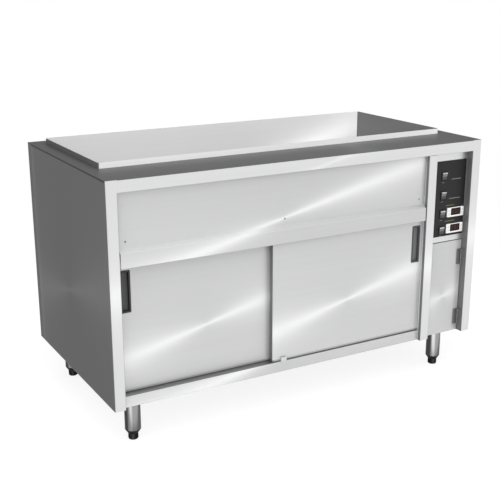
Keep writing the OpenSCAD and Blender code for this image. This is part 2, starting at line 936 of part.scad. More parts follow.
// Shallow tray with its lower left corner at x and z, its front at y and its back open
module tray(x, y, z, w, h, t) {
    translate([x, y, z]) difference() {
        cube([w, t, h]);
        translate([door_sheet_t, door_sheet_t, door_sheet_t])
            cube([w - 2 * door_sheet_t, t, h - 2 * door_sheet_t]);
    }
}

module service_door() {
    w = service_end_x - service_x;
    color("gainsboro") in_frame()
        tray(service_x, panel_setback, service_z, w, service_top - service_z, service_t);
}

// Knuckles of one hinge: the middle one turns with the door, the outer ones stay
module knuckle(z0, z1, r) {
    translate([hinge_x, hinge_y, z0]) cylinder(r = r, h = z1 - z0);
}

module hinge_frame_leaves() {
    color("#383838") in_frame() for (z = hinge_zs) difference() {
        union() {
            block([bay_end_x - leaf_t, hinge_y - leaf_w, z], [bay_end_x, hinge_y, z + hinge_h]);
            knuckle(z, z + knuckle_l - fit_gap, knuckle_r);
            knuckle(z + hinge_h - knuckle_l + fit_gap, z + hinge_h, knuckle_r);
        }
        knuckle(z + knuckle_l - fit_gap, z + hinge_h - knuckle_l + fit_gap, knuckle_r + fit_gap);
        knuckle(z - overrun, z + hinge_h + overrun, hinge_pin_r + run_gap);
    }
}

module hinge_door_leaves() {
    color("#303030") in_frame() for (z = hinge_zs) difference() {
        union() {
            block([hinge_x - leaf_w, panel_setback - leaf_t, z], [hinge_x, panel_setback, z + hinge_h]);
            knuckle(z + knuckle_l, z + hinge_h - knuckle_l, knuckle_r);
        }
        knuckle(z - overrun, z + knuckle_l, knuckle_r + fit_gap);
        knuckle(z + hinge_h - knuckle_l, z + hinge_h + overrun, knuckle_r + fit_gap);
        knuckle(z - overrun, z + hinge_h + overrun, hinge_pin_r + run_gap);
    }
}

module hinge_pins() {
    color("black") in_frame() for (z = hinge_zs) knuckle(z, z + hinge_h, hinge_pin_r);
}

// Magnetic catch on the middle stile's return, behind the service door's free edge
module door_catch() {
    y = panel_setback + service_t + fit_gap;
    z = (service_z + service_top - catch_size.z) / 2;
    color("white") in_frame() difference() {
        block([bay_x, y, z], [bay_x + catch_size.x, y + catch_size.y, z + catch_size.z]);
        block([bay_x + catch_magnet.x, y - overrun, z + catch_magnet.z],
            [bay_x + catch_size.x - catch_magnet.x, y + catch_magnet.y, z + catch_size.z - catch_magnet.z]);
    }
}

// Drain: a flanged outlet through the well's floor down to the valve, and the tail below the valve
module drain_pipe() {
    valve_reach = valve_h + valve_end_h;
    color("silver") in_frame() translate([drain_x, drain_y, 0]) {
        difference() {
            union() {
                translate([0, 0, valve_z + valve_reach])
                    cylinder(r = drain_r, h = well_z + well_t - valve_z - valve_reach);
                translate([0, 0, well_z + well_t]) cylinder(r = drain_flange_r, h = drain_flange_t);
                translate([0, 0, well_z - drain_nut_h]) cylinder(r = drain_nut_r, h = drain_nut_h, $fn = 6);
            }
            translate([0, 0, valve_z]) cylinder(r = drain_r - drain_wall, h = well_z);
        }
        translate([0, 0, tray_z - drain_tail]) difference() {
            cylinder(r = drain_r, h = valve_z - valve_reach - tray_z + drain_tail);
            translate([0, 0, -overrun]) cylinder(r = drain_r - drain_wall, h = valve_z);
        }
    }
}

// Ball valve with hexagonal ends and a stem towards the service door
module drain_valve() {
    color("goldenrod") in_frame() translate([drain_x, drain_y, valve_z]) {
        difference() {
            union() {
                translate([0, 0, -valve_h]) cylinder(r = valve_r, h = 2 * valve_h);
                for (z = [-valve_h - valve_end_h, valve_h])
                    translate([0, 0, z]) cylinder(r = valve_hex_r, h = valve_end_h, $fn = 6);
                rod_y(stem_boss_r, -stem_boss_l, 0);
            }
            for (z = [-valve_h - valve_end_h - overrun, valve_h])
                translate([0, 0, z]) cylinder(r = drain_r - drain_wall, h = valve_end_h + overrun);
        }
        rod_y(valve_stem_r, -stem_boss_l - valve_stem_l, -stem_boss_l);
    }
}

// Lever on the valve's stem, across the pipe when the valve is shut
module drain_lever() {
    color("firebrick") in_frame() translate([drain_x, drain_y - stem_boss_l - lever_gap, valve_z])
        slab(-lever_t, 0) difference() {
            union() {
                circle(stem_boss_r);
                translate([-lever_l, -lever_w / 2]) square([lever_l, lever_w]);
                translate([-lever_l, 0]) circle(lever_w / 2);
            }
            circle(valve_stem_r + run_gap);
        }
}

// Hairpin of element tube in the plane z, with its bend at x0 and its ends at x1
module hairpin(x0, x1, ys, z) {
    pitch = ys[1] - ys[0];
    for (y = ys) translate([0, y, z]) {
        rod_x(element_r, x0, x1);
        rod_x(terminal_r, x1, x1 + terminal_l);
    }
    translate([x0, (ys[0] + ys[1]) / 2, z]) rotate([0, 0, 90])
        rotate_extrude(angle = 180) translate([pitch / 2, 0]) circle(element_r);
}

// Two hairpins under the well's floor
module tank_elements() {
    z = well_z - element_r - fit_gap;
    color("#505050") in_frame() for (share = [1, 3]) {
        middle = well_y + share * well_d / 4;
        ys = [middle - element_leg_gap, middle + element_leg_gap];
        hairpin(well_x + element_end, bay_x + element_tail, ys, z);
    }
}

module cupboard_element() {
    color("#505050") in_frame()
        hairpin(stile_w + element_end, mid_x + element_tail, element_ys, element_z);
}

// Slotted cover over the cupboard's element, fixed to the floor and the rear wall
module element_guard() {
    x0 = stile_w + guard_side_gap;
    x1 = mid_x - guard_side_gap;
    front = liner_y - guard_d;
    pitch = (x1 - x0) / guard_slots;
    color("darkgray") in_frame() difference() {
        fold_across([[liner_y, sill_z + guard_h], [front, sill_z + guard_h], [front, sill_z]],
            sheet_t, x0, x1);
        for (i = [0 : guard_slots - 1])
            translate([x0 + (i + 1 / 2) * pitch, front + guard_d / 2, sill_z + guard_h / 2])
                linear_extrude(guard_h) slot(guard_slot_w, guard_d - 2 * guard_slot_edge);
    }
}

// Gland for the mains cable, through the floor of the service bay
module cable_gland() {
    color("#202020") in_frame() translate([gland_x, gland_y, tray_z]) difference() {
        union() {
            translate([0, 0, -gland_hex_h]) cylinder(r = gland_hex_r, h = gland_hex_h, $fn = 6);
            translate([0, 0, -gland_hex_h - gland_dome_h])
                cylinder(r1 = gland_bore_r + gland_lip, r2 = gland_dome_r, h = gland_dome_h);
            cylinder(r = gland_r, h = sheet_t);
            translate([0, 0, sheet_t]) cylinder(r = gland_hex_r, h = gland_nut_h, $fn = 6);
        }
        translate([0, 0, -gland_hex_h - gland_dome_h - overrun])
            cylinder(r = gland_bore_r, h = gland_hex_h + gland_dome_h + sheet_t + gland_nut_h + 2 * overrun);
    }
}

// Terminal block on the service side of the partition
module terminal_block() {
    y0 = stile_d + block_y_share * (liner_y - stile_d);
    z0 = leg_h + block_z_share * (ceiling_z - leg_h);
    color("ivory") in_frame() translate([mid_x + sheet_t, y0, z0]) difference() {
        cube(block_size);
        for (i = [0 : block_ways - 1])
            translate([0, (i + 1 / 2) * block_size.y / block_ways, block_size.z / 2])
                rod_x(block_well_r, block_size.x - block_well_deep, block_size.x + overrun);
    }
}

// Front tray of a sliding door with the cut-out for its handle, given the door's left edge and front
module door_skin(x, y, handle_x) {
    cut = handle_rim - fit_gap;
    color("gainsboro") in_frame() difference() {
        tray(x, y, door_z, door_w, door_h, door_t);
        translate([handle_x + cut, 0, handle_z + cut]) slab(y - overrun, y + door_sheet_t + overrun)
            round_rect(handle_w - 2 * cut, handle_h - 2 * cut, handle_r);
    }
}

// Rear sheet of a sliding door, inside the tray's returns
module door_liner(x, y) {
    in = door_sheet_t + fit_gap;
    color("darkgray") in_frame()
        block([x + in, y + door_t - door_sheet_t, door_z + in],
            [x + door_w - in, y + door_t, door_top - in]);
}

// Recessed handle: a rim on the door's front and a cup behind it
module door_handle(handle_x, y) {
    in = handle_rim;
    bowl = handle_rim + handle_t;
    color("#404040") in_frame() translate([handle_x, y, handle_z]) difference() {
        union() {
            slab(-handle_t, 0) round_rect(handle_w, handle_h, handle_r);
            slab(0, handle_depth + handle_t) translate([in, in])
                round_rect(handle_w - 2 * in, handle_h - 2 * in, handle_r);
        }
        slab(-handle_t - overrun, handle_depth) translate([bowl, bowl])
            round_rect(handle_w - 2 * bowl, handle_h - 2 * bowl, handle_r / 2);
    }
}

// Places of a door's two rollers along the door
function roller_xs(x) = [x + hanger_end_gap, x + door_w - hanger_end_gap];

// Two hangers on the door's top edge, each a foot, a plate and the roller's axle
module door_hangers(x, y) {
    axle_end = roller_y + roller_w + roller_gap;
    color("gray") in_frame() for (at = roller_xs(x)) translate([at, y, 0]) {
        block([-hanger_w / 2, hanger_y, door_top],
            [hanger_w / 2, hanger_y + hanger_foot_d, door_top + hanger_t]);
        slab(hanger_y, hanger_y + hanger_t) {
            translate([-hanger_w / 2, door_top]) square([hanger_w, rail_z - door_top]);
            translate([-hanger_head_r, door_top]) square([2 * hanger_head_r, roller_z - door_top]);
            translate([0, roller_z]) circle(hanger_head_r);
        }
        translate([0, 0, roller_z]) {
            rod_y(axle_r, hanger_y + hanger_t, axle_end);
            rod_y(axle_r + axle_head, axle_end, axle_end + axle_head);
        }
    }
}

// Grooved roller that runs on the rail's upturned edge
module roller(x, y) {
    edge = (roller_w - groove_w) / 2;
    tip = roller_r + roller_rim;
    bore = axle_r + run_gap;
    color("white") in_frame() translate([x, y + roller_y, roller_z]) rotate([-90, 0, 0]) rotate_extrude()
        polygon([[bore, 0], [tip, 0], [tip, edge], [roller_r, edge], [roller_r, roller_w - edge],
            [tip, roller_w - edge], [tip, roller_w], [bore, roller_w]]);
}

left_handle_x = left_door_x + handle_edge;
right_handle_x = right_door_x + door_w - handle_edge - handle_w;

module left_door_skin() {
    door_skin(left_door_x, inner_y, left_handle_x);
}

module left_door_liner() {
    door_liner(left_door_x, inner_y);
}

module left_door_handle() {
    door_handle(left_handle_x, inner_y);
}

module left_door_hangers() {
    door_hangers(left_door_x, inner_y);
}

module left_roller_a() {
    roller(roller_xs(left_door_x)[0], inner_y);
}

module left_roller_b() {
    roller(roller_xs(left_door_x)[1], inner_y);
}

module right_door_skin() {
    door_skin(right_door_x, outer_y, right_handle_x);
}

module right_door_liner() {
    door_liner(right_door_x, outer_y);
}

module right_door_handle() {
    door_handle(right_handle_x, outer_y);
}

module right_door_hangers() {
    door_hangers(right_door_x, outer_y);
}

module right_roller_a() {
    roller(roller_xs(right_door_x)[0], outer_y);
}

module right_roller_b() {
    roller(roller_xs(right_door_x)[1], outer_y);
}

left_end_panel();
right_end_panel();
mid_stile();
rear_panel();
base_pan();
bottom_tray();
worktop();
well_tank();
fascia_panel();
fascia_screws();
cupboard_ceiling();
left_liner();
service_partition();
rear_liner();
inner_shelf();
shelf_brackets();
door_track();
door_guide();
control_plate();
control_overlay();
panel_screws();
switch_housings();
controller_cases();
controller_windows();
leg_tubes();
leg_bolts();
foot_collars();
hinge_frame_leaves();
hinge_pins();
door_catch();
drain_pipe();
drain_valve();
tank_elements();
cupboard_element();
element_guard();
cable_gland();
terminal_block();
rocker_1();
rocker_2();
rocker_3();
rocker_4();
foot_front_left();
foot_front_right();
foot_rear_left();
foot_rear_right();
service_door();
hinge_door_leaves();
left_door_skin();
left_door_liner();
left_door_handle();
left_door_hangers();
left_roller_a();
left_roller_b();
right_door_skin();
right_door_liner();
right_door_handle();
right_door_hangers();
right_roller_a();
right_roller_b();
drain_lever();
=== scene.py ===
import math
from typing import NamedTuple

import bmesh
import bpy
import numpy as np
from bpy.props import FloatProperty, FloatVectorProperty, PointerProperty
from bpy.types import Operator, Panel, PropertyGroup
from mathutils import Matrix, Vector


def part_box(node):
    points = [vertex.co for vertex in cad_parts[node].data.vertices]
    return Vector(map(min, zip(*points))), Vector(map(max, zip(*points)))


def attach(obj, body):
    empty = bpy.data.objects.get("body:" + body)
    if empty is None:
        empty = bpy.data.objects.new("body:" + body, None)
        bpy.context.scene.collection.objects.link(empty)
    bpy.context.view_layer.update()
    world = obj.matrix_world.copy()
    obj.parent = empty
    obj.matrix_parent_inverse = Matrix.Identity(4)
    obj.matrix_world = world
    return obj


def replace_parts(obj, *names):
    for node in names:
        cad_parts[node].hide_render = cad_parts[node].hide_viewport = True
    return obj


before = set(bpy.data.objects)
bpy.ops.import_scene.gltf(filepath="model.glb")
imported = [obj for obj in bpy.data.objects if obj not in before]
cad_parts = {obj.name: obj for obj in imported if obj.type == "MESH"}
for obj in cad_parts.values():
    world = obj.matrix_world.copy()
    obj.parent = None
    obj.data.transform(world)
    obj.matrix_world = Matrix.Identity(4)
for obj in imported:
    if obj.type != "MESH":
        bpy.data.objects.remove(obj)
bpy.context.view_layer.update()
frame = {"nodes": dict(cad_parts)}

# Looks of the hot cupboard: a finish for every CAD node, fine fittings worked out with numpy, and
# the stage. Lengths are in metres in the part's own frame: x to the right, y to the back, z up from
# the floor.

MM = 0.001

bl_info = {
    "name": "Hot cupboard",
    "version": (1, 0, 0),
    "blender": (4, 5, 0),
    "location": "3D View > Sidebar > Cupboard",
    "description": "Finishes, fine fittings and stage of a hot cupboard with a bain-marie well",
    "category": "Object",
}


def tone(name, description, default):
    """Colour property in linear light."""
    return FloatVectorProperty(name=name, description=description, subtype="COLOR", size=3,
                               min=0.0, max=1.0, default=default)


def length(name, description, default):
    """Length property in metres."""
    return FloatProperty(name=name, description=description, unit="LENGTH", min=0.0,
                         default=default)


def share(name, description, default):
    """Plain number from 0 to 1."""
    return FloatProperty(name=name, description=description, subtype="FACTOR", min=0.0, max=1.0,
                         default=default)


def watts(name, description, default):
    """Power of a light."""
    return FloatProperty(name=name, description=description, unit="POWER", min=0.0,
                         default=default)


class SteelSettings(PropertyGroup):
    """Tones and grain of the brushed sheet."""

    panel: tone("Panels", "Brushed front of the doors", (0.548, 0.549, 0.553))
    # Painted shade: fascia and sill fronts a little darker than the doors, where more light falls
    rail: tone("Rails", "Brushed front of the fascia and the sill", (0.526, 0.527, 0.531))
    frame: tone("Frame", "Brushed front of the stiles and the worktop's edge", (0.738, 0.739, 0.744))
    # Painted highlights: the brightest tones of the bow-tie fans painted into the base colour
    glow: tone("Glow", "Brightest part of the fans on doors and rails", (0.795, 0.796, 0.8))
    sheen: tone("Sheen", "Brightest part of the fans on the frame and the sides", (0.92, 0.921, 0.925))
    gleam: tone("Gleam", "Brightest part of the fan in the well", (0.985, 0.985, 0.985))
    # Painted shade: sides, returns and other faces darker than the fronts
    side_shade: tone("Mill", "Sides and returns, left duller than the fronts", (0.38, 0.38, 0.384))
    # Painted shade: the worktop's upper face much darker than the fronts
    top: tone("Top", "Upper face of the worktop", (0.068, 0.068, 0.0685))
    # Painted shade along the bends and on the worktop's side edges
    fold: tone("Folds", "Bends and sheet edges, which the brush does not reach", (0.15, 0.15, 0.152))
    # Painted shade: stiles' inner sides, right door's left edge, tubes' left side, hinges' frame leaves
    jamb_shade: tone("Jambs", "Inner sides of the stiles and the hinges' frame leaves", (0.17, 0.17, 0.172))
    # Painted light and shade in the well: rim lighter than back wall, painted shade on its ends
    rim: tone("Rim", "Front of the well's rim", (0.755, 0.755, 0.758))
    well: tone("Well", "Back wall of the well", (0.528, 0.528, 0.531))
    shade: tone("Well ends", "Left-looking walls of the well", (0.128, 0.128, 0.13))
    # Painted highlight on the tubes where they look to the front left, painted shade elsewhere
    tube: tone("Tube", "Leg tubes and drain pipe where they look to the front left", (0.78, 0.78, 0.785))
    tube_side: tone("Tube side", "Leg tubes and drain pipe elsewhere", (0.36, 0.36, 0.362))
    inside: tone("Inside", "Lining of the cupboard", (0.6, 0.605, 0.61))
    roughness: share("Roughness", "Gloss of the brushed fronts", 0.34)
    dull: share("Dull", "Roughness added on sides, tops and returns", 0.08)
    grain: length("Grain", "Spacing of the finest brush lines", 0.0012)


class PlasticSettings(PropertyGroup):
    """Tones of the film, the plastics and the painted parts."""

    film: tone("Film", "Printed film of the control panel", (0.0105, 0.0105, 0.0117))
    print: tone("Print", "Plain label bars on the film", (0.2, 0.2, 0.205))
    amber: tone("Amber", "Plain bars over the controllers", (0.19, 0.155, 0.03))
    black: tone("Black", "Switch frames, gland and collars of the feet", (0.009, 0.009, 0.01))
    foot: tone("Feet", "Plastic of the feet", (0.003, 0.003, 0.0032))
    # Painted highlight on the feet where they look to the front left
    foot_gleam: tone("Feet's gleam", "Feet where they look to the front left", (0.055, 0.055, 0.056))
    handle: tone("Handle", "Frame of the recessed handles", (0.05, 0.05, 0.052))
    # Painted light: the floor of the hollow paler than the frame
    hollow: tone("Hollow", "Floor of the recessed handles", (0.15, 0.15, 0.155))
    rocker: tone("Rocker", "Lower half of the switch rockers", (0.05, 0.05, 0.052))
    # Painted light on the rockers: the upper half lighter, with a highlight along the upper edge
    rocker_lit_half: tone("Rocker top", "Upper half of the switch rockers", (0.15, 0.15, 0.155))
    rocker_highlight: tone("Rocker edge", "Upper edge of the switch rockers", (0.62, 0.62, 0.63))
    white: tone("White", "Controller frames and rollers", (0.82, 0.82, 0.81))
    guide: tone("Guide", "Centre guide of the doors", (0.5, 0.5, 0.5))
    strip: tone("Strips", "Glide strips under the doors", (0.34, 0.34, 0.343))
    key: tone("Keys", "Keys of the controllers", (0.62, 0.62, 0.625))
    window: tone("Window", "Smoked red window of a controller", (0.009, 0.0022, 0.002))
    segment: tone("Segments", "Unlit digits behind the window", (0.06, 0.008, 0.007))
    terminal: tone("Terminals", "Terminal block", (0.6, 0.58, 0.52))
    lever: tone("Lever", "Painted drain lever and its sleeve", (0.5, 0.03, 0.02))


class MetalSettings(PropertyGroup):
    """Tones of the small metal parts."""

    screw: tone("Screws", "Screw heads and leg bolts", (0.36, 0.36, 0.365))
    hinge: tone("Hinges", "Door leaves of the service door's hinges", (0.27, 0.27, 0.273))
    pin: tone("Pins", "Hinge pins", (0.07, 0.07, 0.072))
    hanger: tone("Hangers", "Plated hangers and catch", (0.5, 0.5, 0.5))
    element: tone("Elements", "Sheath of the heating elements", (0.17, 0.155, 0.145))
    tint: tone("Heat tint", "Straw tint where an element runs hottest", (0.27, 0.17, 0.09))
    brass: tone("Brass", "Drain valve", (0.7, 0.5, 0.22))


class TrimSettings(PropertyGroup):
    """Sizes of the fine fittings."""

    rear_head: length("Rear screws", "Radius of the screw heads on the rear panel", 0.0042)
    print_t: length("Print", "Thickness of the printed bars", 0.0001)
    key_rise: length("Keys", "Height of a controller key over its frame", 0.0008)
    lens_rise: length("Windows", "Height of a controller's window over its case", 0.0008)
    digit_h: length("Digits", "Height of a controller's digits", 0.0135)
    strip_gap: length("Strip gap", "Room between a glide strip and the sill", 0.0009)
    weld_w: length("Welds", "Width of the ground welds at the front's upper corners", 0.0036)
    sleeve_l: length("Sleeve", "Length of the sleeve on the drain lever", 0.05)
    grate_r: length("Grate", "Radius of the grate in the well's drain", 0.0105)


class StageSettings(PropertyGroup):
    """Camera, floor and light."""

    lens: FloatProperty(name="Lens", description="Focal length on a 36 mm sensor, in millimetres",
                        unit="CAMERA", min=1.0, default=68.04)
    place: FloatVectorProperty(name="Camera", description="Where the camera stands",
                               subtype="TRANSLATION", size=3,
                               default=(-1.70604, -2.97486, 1.49545))
    turn: FloatVectorProperty(name="Aim", description="How the camera is turned",
                              subtype="EULER", size=3, default=(1.2753, -0.0013, -0.5220))
    key: watts("Key light", "Soft light over the front left", 75.0)
    fill: watts("Top light", "Soft light over the well", 24.0)
    dim: share("Dim side", "Brightness of the grey flags behind and to the left", 0.3)


class Value:
    """Number in a node tree that takes part in Python sums; each operator adds one Math node."""

    def __init__(self, nodes, socket):
        self.nodes = nodes
        self.socket = socket

    def _math(self, operation, *terms):
        return self.nodes.value("ShaderNodeMath", {"operation": operation}, dict(enumerate(terms)))

    def __add__(self, other):
        return self._math("ADD", self, other)

    def __sub__(self, other):
        return self._math("SUBTRACT", self, other)

    def __rsub__(self, other):
        return self._math("SUBTRACT", other, self)

    def __mul__(self, other):
        return self._math("MULTIPLY", self, other)

    def __truediv__(self, other):
        return self._math("DIVIDE", self, other)

    def __rtruediv__(self, other):
        return self._math("DIVIDE", other, self)

    def __abs__(self):
        return self._math("ABSOLUTE", self)

    def __gt__(self, other):
        return self._math("GREATER_THAN", self, other)

    def most(self, other):
        """The larger of the two."""
        return self._math("MAXIMUM", self, other)

    __radd__ = __add__
    __rmul__ = __mul__


# Sockets of a Mix node that mixes colours
MIX_FACTOR = 0
MIX_A = 6
MIX_B = 7
MIX_RESULT = 2


class Nodes:
    """Node tree whose sockets are filled with numbers, colours, sockets or Values."""

    def __init__(self, tree):
        self.tree = tree
        self.tree.nodes.clear()

    def node(self, kind, settings=None, sockets=None):
        """Adds a node, sets its settings, then fills its sockets by name or number."""
        made = self.tree.nodes.new(kind)
        for key, setting in (settings or {}).items():
            setattr(made, key, setting)
        for key, term in (sockets or {}).items():
            self.fill(made.inputs[key], term)
        return made

    def fill(self, socket, term):
        """Links a socket or a Value to a socket, or sets a number or a colour on it."""
        if isinstance(term, Value):
            term = term.socket
        if isinstance(term, bpy.types.NodeSocket):
            self.tree.links.new(term, socket)
        elif socket.type == "RGBA":
            socket.default_value = (*term[:3], 1.0)
        else:
            socket.default_value = term

    def value(self, kind, settings=None, sockets=None, output=0):
        """One output of a new node as a Value."""
        return Value(self, self.node(kind, settings, sockets).outputs[output])

    def surface(self, kind, sockets=None):
        """Output of a new shader node."""
        return self.node(kind, sockets=sockets).outputs[0]

    def between(self, factor, a, b):
        """Shader between a and b."""
        return self.surface("ShaderNodeMixShader", {0: factor, 1: a, 2: b})

    def mix(self, factor, a, b, blend="MIX"):
        """Colour between a and b."""
        made = self.node("ShaderNodeMix", {"data_type": "RGBA", "blend_type": blend},
                         {MIX_FACTOR: factor, MIX_A: a, MIX_B: b})
        return made.outputs[MIX_RESULT]

    def parts(self, vector):
        """The three numbers of a vector."""
        made = self.node("ShaderNodeSeparateXYZ", sockets={0: vector})
        return [Value(self, out) for out in made.outputs]

    def smooth(self, value, low, high):
        """0 below low, 1 above high, and an S curve between."""
        return self.value("ShaderNodeMapRange", {"interpolation_type": "SMOOTHSTEP"},
                          {"Value": value, "From Min": low, "From Max": high})


NOISE_ROUGHNESS = 0.55
GRAIN_BUMP = 0.5


class Finish(Nodes):
    """Material with one Principled shader over Object coordinates."""

    def __init__(self, name, **sockets):
        self.material = bpy.data.materials.new(name)
        self.material.use_nodes = True
        super().__init__(self.material.node_tree)
        self.shader = self.node("ShaderNodeBsdfPrincipled")
        self.node("ShaderNodeOutputMaterial", sockets={"Surface": self.shader.outputs[0]})
        coordinates = self.node("ShaderNodeTexCoord")
        self.point = coordinates.outputs["Object"]
        self.at = self.parts(self.point)
        self.looks = self.parts(coordinates.outputs["Normal"])
        self.set(**sockets)

    def set(self, **sockets):
        """Fills the shader's sockets, an underscore standing for a space."""
        for key, term in sockets.items():
            name = key.replace("_", " ").title().replace("Ior", "IOR")
            self.fill(self.shader.inputs[name], term)

    def noise(self, scale, detail=2.0):
        """Noise whose cells repeat scale times a metre along x, y and z."""
        place = self.node("ShaderNodeMapping", sockets={"Vector": self.point, "Scale": scale})
        return self.value("ShaderNodeTexNoise", None, {"Vector": place.outputs[0], "Scale": 1.0,
                                                       "Detail": detail,
                                                       "Roughness": NOISE_ROUGHNESS})

    def tint(self, colour, shade):
        """Base colour times a shade near 1."""
        self.set(base_color=self.mix(1.0, colour, shade.socket, "MULTIPLY"))

    def bump(self, height, distance, strength=GRAIN_BUMP):
        """Normal tipped by a height from 0 to 1 times the distance."""
        made = self.node("ShaderNodeBump", sockets={"Strength": strength, "Distance": distance,
                                                    "Height": height})
        self.fill(self.shader.inputs["Normal"], made.outputs[0])

    def grained(self, colour, cells, shade, roughness, depth):
        """Fine grain of that many cells a metre, with that depth: the colour's shade and the
        roughness each start at their first number and gain up to their second."""
        fine = self.noise((cells,) * 3)
        self.tint(colour, shade[0] + fine * shade[1])
        self.set(roughness=roughness[0] + fine * roughness[1])
        self.bump(fine, depth)
        return self.material


class Fan(NamedTuple):
    """Painted sheen on one face, a highlight in its base colour: its centre as shares of the node's
    box, its slope, its spread for each metre from the centre, its spread at the centre, its strength
    and its tone."""

    across: float
    up: float
    slope: float
    width: float
    core: float = 5 * MM
    strength: float = 1.0
    tone: str = "sheen"


class Sheet(NamedTuple):
    """Finish of a sheet: the axis that its brush lines follow, tones by the way a face looks, which are
    painted light and shade, and fans, which are painted highlights, the tone of its other faces, how
    much of a metal it is, the height of the painted shade along the bends under its upper edge, first
    on its sides and then on its front, the share of its depth behind which faces that look one way
    line the inside, with their tone there, and how far painted shade dims the front where it slopes."""

    grain: str
    tones: dict = {}
    fans: dict = {}
    rest: str = "side_shade"
    metallic: float = 1.0
    hem_shade: tuple = ()
    lined: dict = {}
    dim: float = 0.0


# Each way that a face can look: axis and sign of its normal, and the two axes that lie in it
WAYS = {"front": (1, -1, (0, 2)), "back": (1, 1, (0, 2)), "left": (0, -1, (1, 2)),
        "right": (0, 1, (1, 2)), "top": (2, 1, (0, 1))}
# How far a normal points along an axis on a face that looks that way, and up on a sloped one
FLAT = 0.5
SLOPED = (0.3, 0.6)
# How much less of a metal the dull tones are
MATT = {"jamb_shade": 0.6, "inside": 0.8, "panel": 0.5, "rail": 0.5, "top": 0.8}
# Heights of the painted shade along the bends of the end panels and the sill, and painted highlight
# fans of the sides and the outer stiles
SIDE_HEM = (5 * MM, 0.0)
SILL_HEM = (0.0, 2 * MM)
UPRIGHT = 1e6
SIDE_FANS = (Fan(0.53, 0.4, -0.26, 0.22, strength=0.2),
             Fan(0.99, 0.5, UPRIGHT, 0.0, 16 * MM, 0.14))
STILE_BAND = 60 * MM
STILE_FANS = [Fan(0.5, 0.515, 0.0, 0.0, STILE_BAND)]
SHEETS = {
    "left_door_skin": Sheet("x", {"front": "panel"},
                            {"front": [Fan(0.488, 0.371, 0.23, 0.115, tone="glow")]}),
    "right_door_skin": Sheet("x", {"front": "panel", "left": "jamb_shade"},
                             {"front": [Fan(0.484, 0.369, 0.235, 0.115, tone="glow")]}),
    "fascia_panel": Sheet("x", {"front": "rail"},
                          {"front": [Fan(0.5, 0.33, 0.226, 0.06, tone="glow")]}, dim=0.27),
    "service_door": Sheet("x", {"front": "panel", "back": "inside"},
                          {"front": [Fan(0.5, 0.41, 0.27, 0.42, strength=0.85, tone="glow")]}),
    "base_pan": Sheet("x", {"front": "rail"}, {"front": [Fan(0.5, 1.7, 0.2, 0.085, tone="glow")]},
                      hem_shade=SILL_HEM, lined={"top": (0.07, "inside")}),
    "left_end_panel": Sheet("z", {"front": "frame", "right": "jamb_shade"},
                            {"front": STILE_FANS, "left": SIDE_FANS},
                            hem_shade=SIDE_HEM, lined={"right": (0.06, "inside")}),
    "right_end_panel": Sheet("z", {"front": "frame", "left": "jamb_shade"},
                             {"front": STILE_FANS, "right": SIDE_FANS},
                             hem_shade=SIDE_HEM, lined={"left": (0.06, "inside")}),
    "mid_stile": Sheet("z", {"front": "frame", "left": "jamb_shade", "right": "jamb_shade"},
                       {"front": [Fan(0.5, 0.42, 0.0, 0.0, STILE_BAND)]},
                       lined={"left": (0.2, "inside")}),
    "rear_panel": Sheet("z", {"back": "panel", "front": "inside"},
                        {"back": [Fan(0.5, 0.5, -0.24, 0.12, strength=0.8, tone="glow")]}),
    "worktop": Sheet("x", {"front": "frame", "top": "top", "left": "fold", "right": "fold"},
                     {"front": [Fan(0.55, 0.49, 0.24, 0.03, strength=0.6)],
                      "top": [Fan(0.66, 0.1, 6.0, 0.12, 40 * MM, strength=0.03)]}),
    # Painted light and shade in the well, with a painted highlight fan on its back wall
    "well_tank": Sheet("x", {"front": "rim", "left": "shade"},
                       {"front": [Fan(0.5, -0.16, 0.248, 0.1, tone="gleam")]}, metallic=0.1,
                       lined={"front": (0.3, "well")}),
    "hinge_frame_leaves": Sheet("z", rest="jamb_shade", metallic=0.4),
    "control_plate": Sheet("x", {"front": "frame"}),
}
TUBES = ("leg_tubes", "drain_pipe")
LINING = ("bottom_tray", "cupboard_ceiling", "left_liner", "service_partition", "rear_liner",
          "inner_shelf", "shelf_brackets", "door_track", "element_guard", "left_door_liner",
          "right_door_liner")
LINING_METAL = 0.2


def at_share(node, axis, amount):
    """Place at that share of a node's box along axis 0, 1 or 2."""
    low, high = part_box(node)
    return low[axis] + amount * (high[axis] - low[axis])


def fan(finish, node, axes, shape):
    """Painted highlight, a bow tie of brighter steel in the base colour: strength / (1 + (v / (width
    |u| + core))^2), where u runs along a line of that slope through the centre and v runs across it."""
    cosine, sine = math.cos(math.atan(shape.slope)), math.sin(math.atan(shape.slope))
    over = finish.at[axes[0]] - at_share(node, axes[0], shape.across)
    rise = finish.at[axes[1]] - at_share(node, axes[1], shape.up)
    u = over * cosine + rise * sine
    v = rise * cosine - over * sine
    spread = v / (abs(u) * shape.width + shape.core)
    return shape.strength / (spread * spread + 1.0)


DETAIL = 3.0
# Brush lines: stretch along the brush, and how much wider and less stretched the bands are
LINE_STRETCH = 5.0
BAND_LINES = 9.0
BAND_STRETCH = LINE_STRETCH / 3.0
CLOUD_CELLS = (3.1, 2.7, 3.4)
# What lines, bands and clouds add to the shade and the roughness, over a lower start
SHADE_START = 0.93
LINE_SHADE = 0.06
BAND_SHADE = 0.05
CLOUD_SHADE = 0.03
ROUGH_LESS = 0.06
LINE_ROUGH = 0.1
CLOUD_ROUGH = 0.04
# Height of the brush lines and strength of their bump
LINE_BUMP = (0.02 * MM, 0.12)


